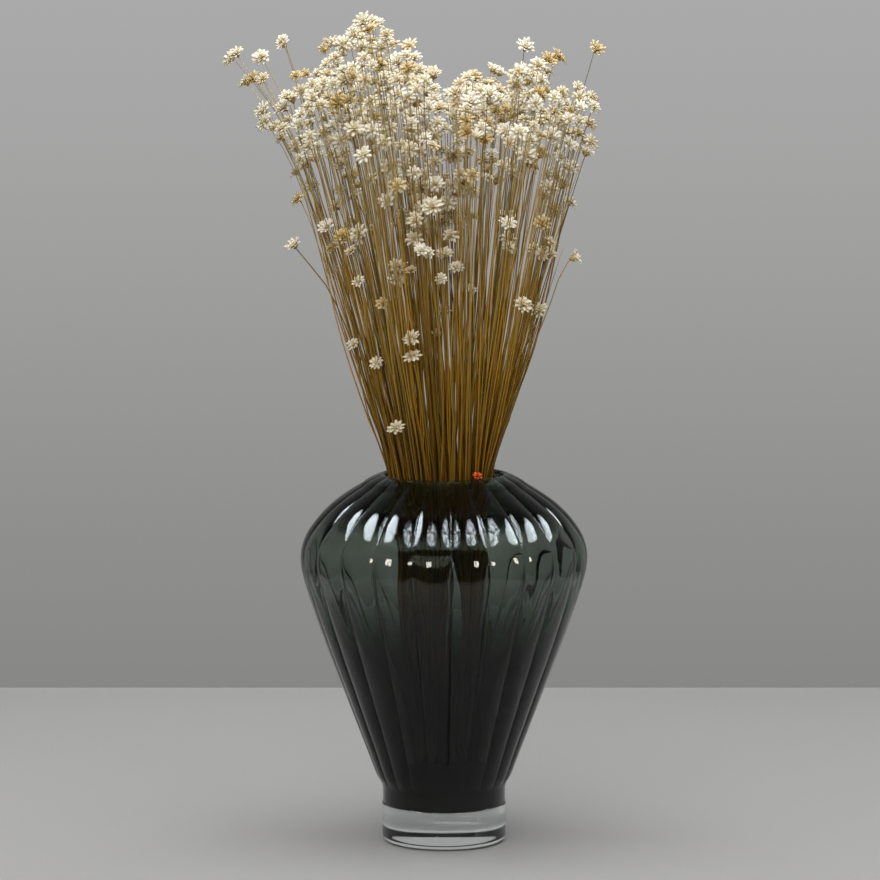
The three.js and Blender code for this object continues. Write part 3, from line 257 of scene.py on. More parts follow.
def stem_material():
    mat, nt, out = new_material("glixia_stem")
    along, shade, age = tones(nt)
    # along is the height over the table in metres times two. Both ramps are far darker below about 0.46 (inside the
    # vase and at its mouth): this is painted shade for the stems under the bunch and behind the smoked glass, laid over
    # the stems' own deeper ochre there; higher up they pale to straw as real stems do
    warm = ramp(nt, along, [(0.0, (0.060, 0.028, 0.003)), (0.40, (0.115, 0.053, 0.003)), (0.46, (0.20, 0.092, 0.004)), (0.56, (0.30, 0.145, 0.007)), (0.64, (0.345, 0.182, 0.016)), (0.72, (0.33, 0.20, 0.040)), (0.86, (0.36, 0.265, 0.11)), (1.0, (0.36, 0.29, 0.17))])
    dull = ramp(nt, along, [(0.0, (0.055, 0.031, 0.005)), (0.40, (0.095, 0.055, 0.009)), (0.46, (0.16, 0.095, 0.018)), (0.58, (0.25, 0.168, 0.042)), (0.72, (0.30, 0.21, 0.075)), (0.86, (0.34, 0.275, 0.15)), (1.0, (0.35, 0.30, 0.21))])
    c = mix_colour(nt, age, warm, dull)
    streak = noise(nt, 1.0, 4.0, (1500.0, 1500.0, 45.0))
    blotch = noise(nt, 1.0, 2.0, (60.0, 60.0, 18.0))
    v = maths(nt, "MULTIPLY_ADD", shade, 1.15, 0.36)
    v = maths(nt, "MULTIPLY", v, maths(nt, "MULTIPLY_ADD", streak, 0.7, 0.65))
    v = maths(nt, "MULTIPLY", v, maths(nt, "MULTIPLY_ADD", blotch, 0.6, 0.70))
    hsv = nt.nodes.new("ShaderNodeHueSaturation")
    nt.links.new(c, hsv.inputs["Color"])
    nt.links.new(v, hsv.inputs["Value"])
    papery(nt, out, hsv.outputs["Color"], 0.5, 0.0, bump(nt, streak, 0.35, 0.0001), 0.12)
    return mat


def bud_material():
    mat, nt, out = new_material("red_bud")
    along, shade, age = tones(nt)
    c = ramp(nt, along, [(0.0, (0.32, 0.035, 0.012)), (0.5, (0.66, 0.075, 0.020)), (1.0, (0.80, 0.16, 0.05))])
    grain = noise(nt, 900.0, 2.0)
    hsv = nt.nodes.new("ShaderNodeHueSaturation")
    nt.links.new(c, hsv.inputs["Color"])
    nt.links.new(maths(nt, "MULTIPLY_ADD", grain, 0.5, 0.75), hsv.inputs["Value"])
    papery(nt, out, hsv.outputs["Color"], 0.5, 0.15, bump(nt, grain, 0.3, 0.0001), 0.35)
    return mat


def glass_material(name, ior, absorb, density, wave_scale, wave, roughness=0.0):
    mat, nt, out = new_material(name)
    g = nt.nodes.new("ShaderNodeBsdfPrincipled")
    g.inputs["Base Color"].default_value = (1, 1, 1, 1)
    g.inputs["Transmission Weight"].default_value = 1.0
    g.inputs["IOR"].default_value = ior
    g.inputs["Roughness"].default_value = roughness
    # the slow waviness of glass that was blown into a mould
    h = noise(nt, 1.0, 1.0, wave_scale)
    nt.links.new(bump(nt, h, 1.0, wave), g.inputs["Normal"])
    nt.links.new(g.outputs[0], out.inputs["Surface"])
    v = nt.nodes.new("ShaderNodeVolumeAbsorption")
    v.inputs["Color"].default_value = (*absorb, 1.0)
    v.inputs["Density"].default_value = density
    nt.links.new(v.outputs[0], out.inputs["Volume"])
    return mat


BRACT, FLORET, CALYX, STEM = bract_material(), floret_material(), calyx_material(), stem_material()
BUD = bud_material()
# absorption per metre is density * (1 - colour)
SMOKED = glass_material("smoked_glass", 1.37, (0.33, 0.415, 0.335), 400.0, (22.0, 22.0, 30.0), 0.00003)
CLEAR = glass_material("clear_glass", 1.50, (0.50, 0.56, 0.54), 7.0, (30.0, 30.0, 30.0), 0.00003)

# ---------------------------------------------------------------- the vase
FLUTES = 22
# bearings of the creases between the ribs, from the front (-Y) towards +X; the mould was not quite even
CREASES = [-61.7, -46.0, -29.4, -12.8, 2.9, 17.9, 34.4, 50.2] + [66.8 + 231.5 * k / 14 for k in range(14)]
OUTER_KEYS = [(36.7, 22.9), (36.7, 25), (36.7, 29), (36.72, 31.6), (37.0, 33.6), (38.14, 36), (40.47, 40), (42.8, 46), (46.2, 55), (50.04, 65), (55.78, 80), (61.44, 95),
              (67.15, 110), (72.6, 125), (77.11, 138), (80.45, 148), (82.93, 156), (84.66, 163), (85.36, 168), (85.44, 172), (85.01, 176),
              (84.02, 180), (82.47, 184), (80.25, 188), (77.41, 192), (74.23, 196), (70.26, 200), (65.72, 204), (60.22, 208),
              (54.86, 211.5), (49.67, 214.6), (46.4, 217), (42.3, 219.1), (40.2, 220.0), (39.0, 220.55), (37.8, 220.9)]
LIP_KEYS = [(36.9, 220.95), (36.15, 220.6), (35.55, 219.9), (35.4, 219.2), (35.75, 218.65), (37.3, 218.0)]
INNER_KEYS = [(40.2, 212.2), (48.2, 206.4), (57.4, 200.9), (68.0, 195.6), (76.6, 188.2), (81.7, 179.6), (83.0, 171.5), (81.6, 162.5), (77.0, 148), (65.6, 124.5), (49.0, 100),
              (39.3, 79.5), (33.4, 60.5), (31.8, 54.8), (29.8, 51.5), (27.2, 50.3)]
DEPTH_Z = [0, 33.5, 36, 40, 51.5, 95, 130, 150, 158, 165, 172, 178, 184, 190, 196, 204, 211, 217, 219.5, 221]
DEPTH_D = [0, 0, 0.7, 1.2, 1.75, 2.5, 2.75, 2.6, 2.15, 1.6, 1.0, 0.66, 0.95, 1.6, 2.0, 2.1, 1.7, 1.1, 0.75, 0.5]


def through(keys, count):
    """count points evenly spaced along a smooth curve through the keys."""
    p = np.array(keys, float)
    seg = np.sqrt(((p[1:] - p[:-1]) ** 2).sum(1)) ** 0.5
    t = np.concatenate([[0], np.cumsum(seg)])
    m = np.empty_like(p)
    m[1:-1] = ((p[1:-1] - p[:-2]) / (t[1:-1] - t[:-2])[:, None] * (t[2:] - t[1:-1])[:, None] + (p[2:] - p[1:-1]) / (t[2:] - t[1:-1])[:, None] * (t[1:-1] - t[:-2])[:, None]) / (t[2:] - t[:-2])[:, None]
    m[0], m[-1] = (p[1] - p[0]) / (t[1] - t[0]), (p[-1] - p[-2]) / (t[-1] - t[-2])
    fine = np.linspace(0, t[-1], 4000)
    i = np.clip(np.searchsorted(t, fine, "right") - 1, 0, len(t) - 2)
    h = (t[i + 1] - t[i])[:, None]
    s = ((fine - t[i]) / (t[i + 1] - t[i]))[:, None]
    c = (2 * s**3 - 3 * s**2 + 1) * p[i] + (s**3 - 2 * s**2 + s) * h * m[i] + (-2 * s**3 + 3 * s**2) * p[i + 1] + (s**3 - s**2) * h * m[i + 1]
    length = np.concatenate([[0], np.cumsum(np.sqrt(((c[1:] - c[:-1]) ** 2).sum(1)))])
    at = np.linspace(0, length[-1], count)
    return np.stack([np.interp(at, length, c[:, k]) for k in range(c.shape[1])], 1)


RIB_T = np.array([-0.985, -0.965, -0.94, -0.905, -0.85, -0.77, -0.66, -0.52, -0.36, -0.18, 0.0, 0.18, 0.36, 0.52, 0.66, 0.77, 0.85, 0.905, 0.94, 0.965, 0.985, 1.0])


def rib_shape(t, sharp=0.23, power=7):
    """0 on a rib's crest and about 1 in the narrow groove between two ribs, which is rounded at its very bottom."""
    t = np.abs(t)
    t0 = 0.955
    f = lambda u: (1 - sharp) * u**2 + sharp * u**power
    slope = (1 - sharp) * 2 * t0 + sharp * power * t0 ** (power - 1)
    end = 1 - t0
    return np.where(t < t0, f(t), f(t0) + slope * ((t - t0) - (t - t0) ** 2 / (2 * end)))


def vase_body():
    outer = through(OUTER_KEYS, 400)
    # rows closer together where the shoulder turns
    place = np.interp(outer[:, 1], [0, 36, 60, 140, 165, 221], [1.3, 1.3, 0.65, 0.65, 1.35, 1.35])
    run = np.concatenate([[0], np.cumsum(np.sqrt((np.diff(outer, axis=0) ** 2).sum(1)) * (place[1:] + place[:-1]) / 2)])
    at = np.linspace(0, run[-1], 122)
    outer = np.stack([np.interp(at, run, outer[:, 0]), np.interp(at, run, outer[:, 1])], 1)
    lip = through([OUTER_KEYS[-1], *LIP_KEYS], 11)[1:]
    inner = through([LIP_KEYS[-1], *INNER_KEYS], 61)[1:]
    start = np.array([[8.0, 22.02], [16.0, 22.06], [22.0, 22.1], [27.0, 22.16], [31.0, 22.24], [34.0, 22.36], [35.8, 22.55], [36.45, 22.8]])
    outer = outer[outer[:, 1] > 23.6]
    prof = np.vstack([start, outer, lip, inner, [[20.0, 50.0]]])
    n_out = len(start) + len(outer)
    z = prof[:, 1]
    depth = np.interp(z, DEPTH_Z, DEPTH_D)
    k = np.arange(len(prof))
    inside = np.clip((k - n_out) / 9.0, 0, 1)  # 0 outside, 1 inside
    depth_in = np.interp(z, [50, 54, 60, 75, 100, 140, 150, 158, 168, 178, 188, 204, 215, 218, 221], [0, 0.3, 0.9, 1.8, 2.6, 3.2, 2.9, 2.3, 1.6, 1.0, 0.8, 0.5, 0.4, 0.3, 0.3])
    edges = np.radians(np.array(CREASES + [CREASES[0] + 360.0]))
    phi, ts, half = [], [], []
    for a0, a1 in zip(edges[:-1], edges[1:]):
        phi.append((a0 + a1) / 2 + RIB_T * (a1 - a0) / 2)
        ts.append(RIB_T)
    phi, ts = np.concatenate(phi), np.concatenate(ts)
    f_out, f_in = rib_shape(ts), 0.45 * (1 - np.cos(np.pi * ts)) / 2 + 0.55 * rib_shape(ts) ** 3
    # the grooves are cut sharper on the tapering body than on the shoulder
    low = np.clip((160 - z) / 18, 0, 1)[:, None]
    f_out = f_out * (1 - low) + rib_shape(ts, 0.48, 24) * low
    cut = depth[:, None] * f_out * (1 - inside[:, None]) + depth_in[:, None] * f_in * inside[:, None]
    r = prof[:, :1] - cut
    n_a = len(phi)
    # inside the shoulder the wall's widest line runs in waves, low behind each rib
    wave = (1.0 * f_in - 3.2 * (1 - f_in)) * (np.exp(-(((z - 170) / 13) ** 2)) * inside)[:, None]
    verts = np.stack([r * np.sin(phi), -r * np.cos(phi), z[:, None] + wave], -1).reshape(-1, 3)
    rows = len(prof)
    a = np.arange(n_a)
    b = (a + 1) % n_a
    i = np.arange(rows - 1)[:, None]
    quads = np.stack([i * n_a + a, i * n_a + b, (i + 1) * n_a + b, (i + 1) * n_a + a], -1).reshape(-1, 4)
    bottom, floor = len(verts), len(verts) + 1
    verts = np.vstack([verts, [[0, 0, 22.0], [0, 0, 50.0]]])
    fan0 = np.stack([np.full(n_a, bottom), b, a], -1)
    fan1 = np.stack([np.full(n_a, floor), (rows - 1) * n_a + a, (rows - 1) * n_a + b], -1)
    obj = make_piece("smoked_glass_vase", verts * MM, [quads, fan0, fan1], [SMOKED])
    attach(obj, "root")
    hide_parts("vase_body")
    return obj


def vase_foot():
    # the top reaches a little into the dark glass, to which it is fused
    keys = np.array([(31.6, 0.0), (33.2, 0.07), (34.5, 0.32), (35.5, 0.80), (36.25, 1.5), (36.75, 2.4), (37.0, 3.5), (37.08, 4.6), (37.1, 5.8), (37.1, 9.0), (37.1, 14.0), (37.1, 20.5), (37.1, 22.4), (37.05, 22.9), (36.9, 23.2), (36.6, 23.3),
                     (35.8, 23.26), (34.0, 23.1), (31.0, 22.95), (27.0, 22.85), (22.0, 22.8), (16.0, 22.76), (8.0, 22.72)])
    n_a = 224
    phi = np.arange(n_a) * 2 * math.pi / n_a
    r, z = keys[:, :1], keys[:, 1]
    r = np.broadcast_to(r, (len(keys), n_a))
    verts = np.stack([r * np.sin(phi), -r * np.cos(phi), np.broadcast_to(z[:, None], r.shape)], -1).reshape(-1, 3)
    rows = len(keys)
    a = np.arange(n_a)
    b = (a + 1) % n_a
    i = np.arange(rows - 1)[:, None]
    quads = np.stack([i * n_a + a, i * n_a + b, (i + 1) * n_a + b, (i + 1) * n_a + a], -1).reshape(-1, 4)
    verts = np.vstack([verts, [[0, 0, 0.0], [0, 0, 22.7]]])
    fan0 = np.stack([np.full(n_a, len(verts) - 2), b, a], -1)
    fan1 = np.stack([np.full(n_a, len(verts) - 1), (rows - 1) * n_a + a, (rows - 1) * n_a + b], -1)
    obj = make_piece("clear_glass_foot", verts * MM, [quads, fan0, fan1], [CLEAR])
    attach(obj, "root")
    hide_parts("vase_foot")
    return obj


# ---------------------------------------------------------------- one flower head
def sweep_bract(rng, length, width, base_r, base_h, elev0, elev1, thick, cup, bands=3, tip_curl=0.0):
    """One closed, pointed, slightly channelled bract in the plane y = 0, growing outwards from (base_r, 0, base_h)."""
    s = np.linspace(0, 1, bands + 2)[:-1] ** 0.92
    s = np.append(s, 1.0)
    shape = np.interp(s, [0, 0.18, 0.45, 0.7, 0.88, 1.0], [0.66, 0.90, 1.0, 0.88, 0.56, 0.0])
    fine = np.linspace(0, 1, 33)
    el = elev0 + (elev1 - elev0) * fine + tip_curl * fine**3
    x = np.concatenate([[0], np.cumsum((np.cos(el[1:]) + np.cos(el[:-1])) / 2 / 32)]) * length + base_r
    h = np.concatenate([[0], np.cumsum((np.sin(el[1:]) + np.sin(el[:-1])) / 2 / 32)]) * length + base_h
    cx, ch, ce = np.interp(s, fine, x), np.interp(s, fine, h), np.interp(s, fine, el)
    side = rng.normal(0, 0.035) * length * s**2  # a little sideways lean
    verts, along = [], []
    for k in range(bands + 1):
        w, t = width * shape[k] / 2, thick * (1 - 0.6 * s[k]) / 2
        c = cup * w
        nx, nh = -math.sin(ce[k]), math.cos(ce[k])
        verts += [(cx[k] + nx * c, -w + side[k], ch[k] + nh * c), (cx[k] + nx * t, side[k], ch[k] + nh * t),
                  (cx[k] + nx * c, w + side[k], ch[k] + nh * c), (cx[k] - nx * t, side[k], ch[k] - nh * t)]
        along += [s[k]] * 4
    verts.append((cx[-1], side[-1], ch[-1]))
    along.append(1.0)
    quads, tris = [(0, 1, 2, 3)], []
    for k in range(bands):
        o = 4 * k
        for j in range(4):
            quads.append((o + (j + 1) % 4, o + j, o + 4 + j, o + 4 + (j + 1) % 4))
    o = 4 * bands
    for j in range(4):
        tris.append((o + (j + 1) % 4, o + j, o + 4))
    return np.array(verts), np.array(quads), np.array(tris), np.array(along)


def turned(v, a):
    c, s = math.cos(a), math.sin(a)
    return np.stack([v[:, 0] * c - v[:, 1] * s, v[:, 0] * s + v[:, 1] * c, v[:, 2]], 1)


class Gather:
    """Collects closed bits of mesh with their tones and materials."""

    def __init__(self):
        self.v, self.q, self.t, self.qm, self.tm, self.tone, self.n = [], [], [], [], [], [], 0

    def add(self, v, q, t, mat, along, shade, age):
        if len(q):
            self.q.append(np.asarray(q) + self.n)
            self.qm.append(np.full(len(q), mat))
        if len(t):
            self.t.append(np.asarray(t) + self.n)
            self.tm.append(np.full(len(t), mat))
        self.v.append(v)
        tone = np.empty((len(v), 3))
        tone[:, 0], tone[:, 1], tone[:, 2] = along, shade, age
        self.tone.append(tone)
        self.n += len(v)

    def done(self):
        return (np.vstack(self.v), np.vstack(self.q), np.vstack(self.t) if self.t else np.zeros((0, 3), int), np.concatenate(self.qm),
                np.concatenate(self.tm) if self.tm else np.zeros(0, int), np.vstack(self.tone))


def head_template(rng, openness, fullness):
    """A flower head of radius 1, its axis on +Z, its centre at the origin; openness 1 is a flat star, 0 a closed bud."""
    g = Gather()
    lift = math.radians(62 * (1 - openness))
    # outer, widest star first, then shorter and steeper whorls
    whorls = [(10, 1.02, 0.43, 0.14, 0.00, 7, -6, 3), (8, 0.84, 0.40, 0.13, 0.045, 19, 9, 3), (6, 0.58, 0.31, 0.12, 0.09, 36, 28, 2), (5, 0.36, 0.21, 0.10, 0.12, 54, 56, 2)]
    for w, (count, length, width, base, height, e0, e1, bands) in enumerate(whorls):
        count = max(6, int(round(count * fullness)))
        phase = rng.uniform(0, 2 * math.pi)
        for k in range(count):
            if rng.random() < 0.04:
                continue
            a = phase + (k + rng.uniform(-0.22, 0.22)) * 2 * math.pi / count
            ln = length * rng.uniform(0.86, 1.06)
            el0 = math.radians(e0 + rng.normal(0, 5)) + lift * (1.0 - 0.12 * w)
            el1 = math.radians(e1 + rng.normal(0, 8)) + lift * 0.8
            v, q, t, al = sweep_bract(rng, ln - base * 0.6, width * rng.uniform(0.85, 1.15), base, height, min(el0, 1.45), min(el1, 1.5), 0.035, rng.uniform(0.12, 0.34), bands, rng.normal(0, 0.25))
            g.add(turned(v, a), q, t, 0, al, float(np.clip(0.62 - 0.10 * w + rng.normal(0, 0.20), 0, 1)), 0.0)
    # the florets: a small dome of beads
    for k in range(13):
        rr = 0.17 * math.sqrt((k + 0.5) / 13)
        a = k * 2.399963
        h = 0.17 - 2.2 * rr * rr
        b = 0.052 * rng.uniform(0.8, 1.25)
        v = np.array([(1, 0, 0), (0, 1, 0), (-1, 0, 0), (0, -1, 0), (0, 0, 1.3), (0, 0, -1.3)]) * b + (rr * math.cos(a), rr * math.sin(a), h)
        t = [(0, 1, 4), (1, 2, 4), (2, 3, 4), (3, 0, 4), (1, 0, 5), (2, 1, 5), (3, 2, 5), (0, 3, 5)]
        g.add(v, [], t, 1, 0.5, rng.random(), 0.0)
    # the cup under the bracts, closed at both ends
    rings = [(0.070, -0.40), (0.140, -0.34), (0.210, -0.24), (0.255, -0.12), (0.250, 0.00), (0.13, 0.05)]
    m = 9
    v, al = [], []
    for r, h in rings:
        for j in range(m):
            v.append((r * math.cos(2 * math.pi * j / m), r * math.sin(2 * math.pi * j / m), h))
            al.append((h + 0.42) / 0.47)
    q = [(i * m + j, i * m + (j + 1) % m, (i + 1) * m + (j + 1) % m, (i + 1) * m + j) for i in range(len(rings) - 1) for j in range(m)]
    v += [(0, 0, -0.43), (0, 0, 0.06)]
    al += [0, 1]
    n = len(v)
    t = [(n - 2, (j + 1) % m, j) for j in range(m)] + [(n - 1, (len(rings) - 1) * m + j, (len(rings) - 1) * m + (j + 1) % m) for j in range(m)]
    g.add(np.array(v), q, t, 2, np.array(al), 0.4, 0.0)
    # brown scales that overlap up the cup
    for row, (count, h, r, ln) in enumerate([(7, -0.32, 0.13, 0.24), (9, -0.19, 0.21, 0.28)]):
        for k in range(count):
            a = (k + 0.5 * (row % 2) + rng.uniform(-0.15, 0.15)) * 2 * math.pi / count
            e = math.radians(rng.normal(44 - 6 * row, 5)) + lift * 0.3
            v, q, t, al = sweep_bract(rng, ln * rng.uniform(0.85, 1.15), 0.21, r, h, min(e, 1.4), min(e - 0.20, 1.35), 0.03, 0.15, 2)
            g.add(turned(v, a), q, t, 2, 0.35 + 0.65 * al, float(np.clip(rng.normal(0.4, 0.25), 0, 1)), 0.0)
    return g.done()


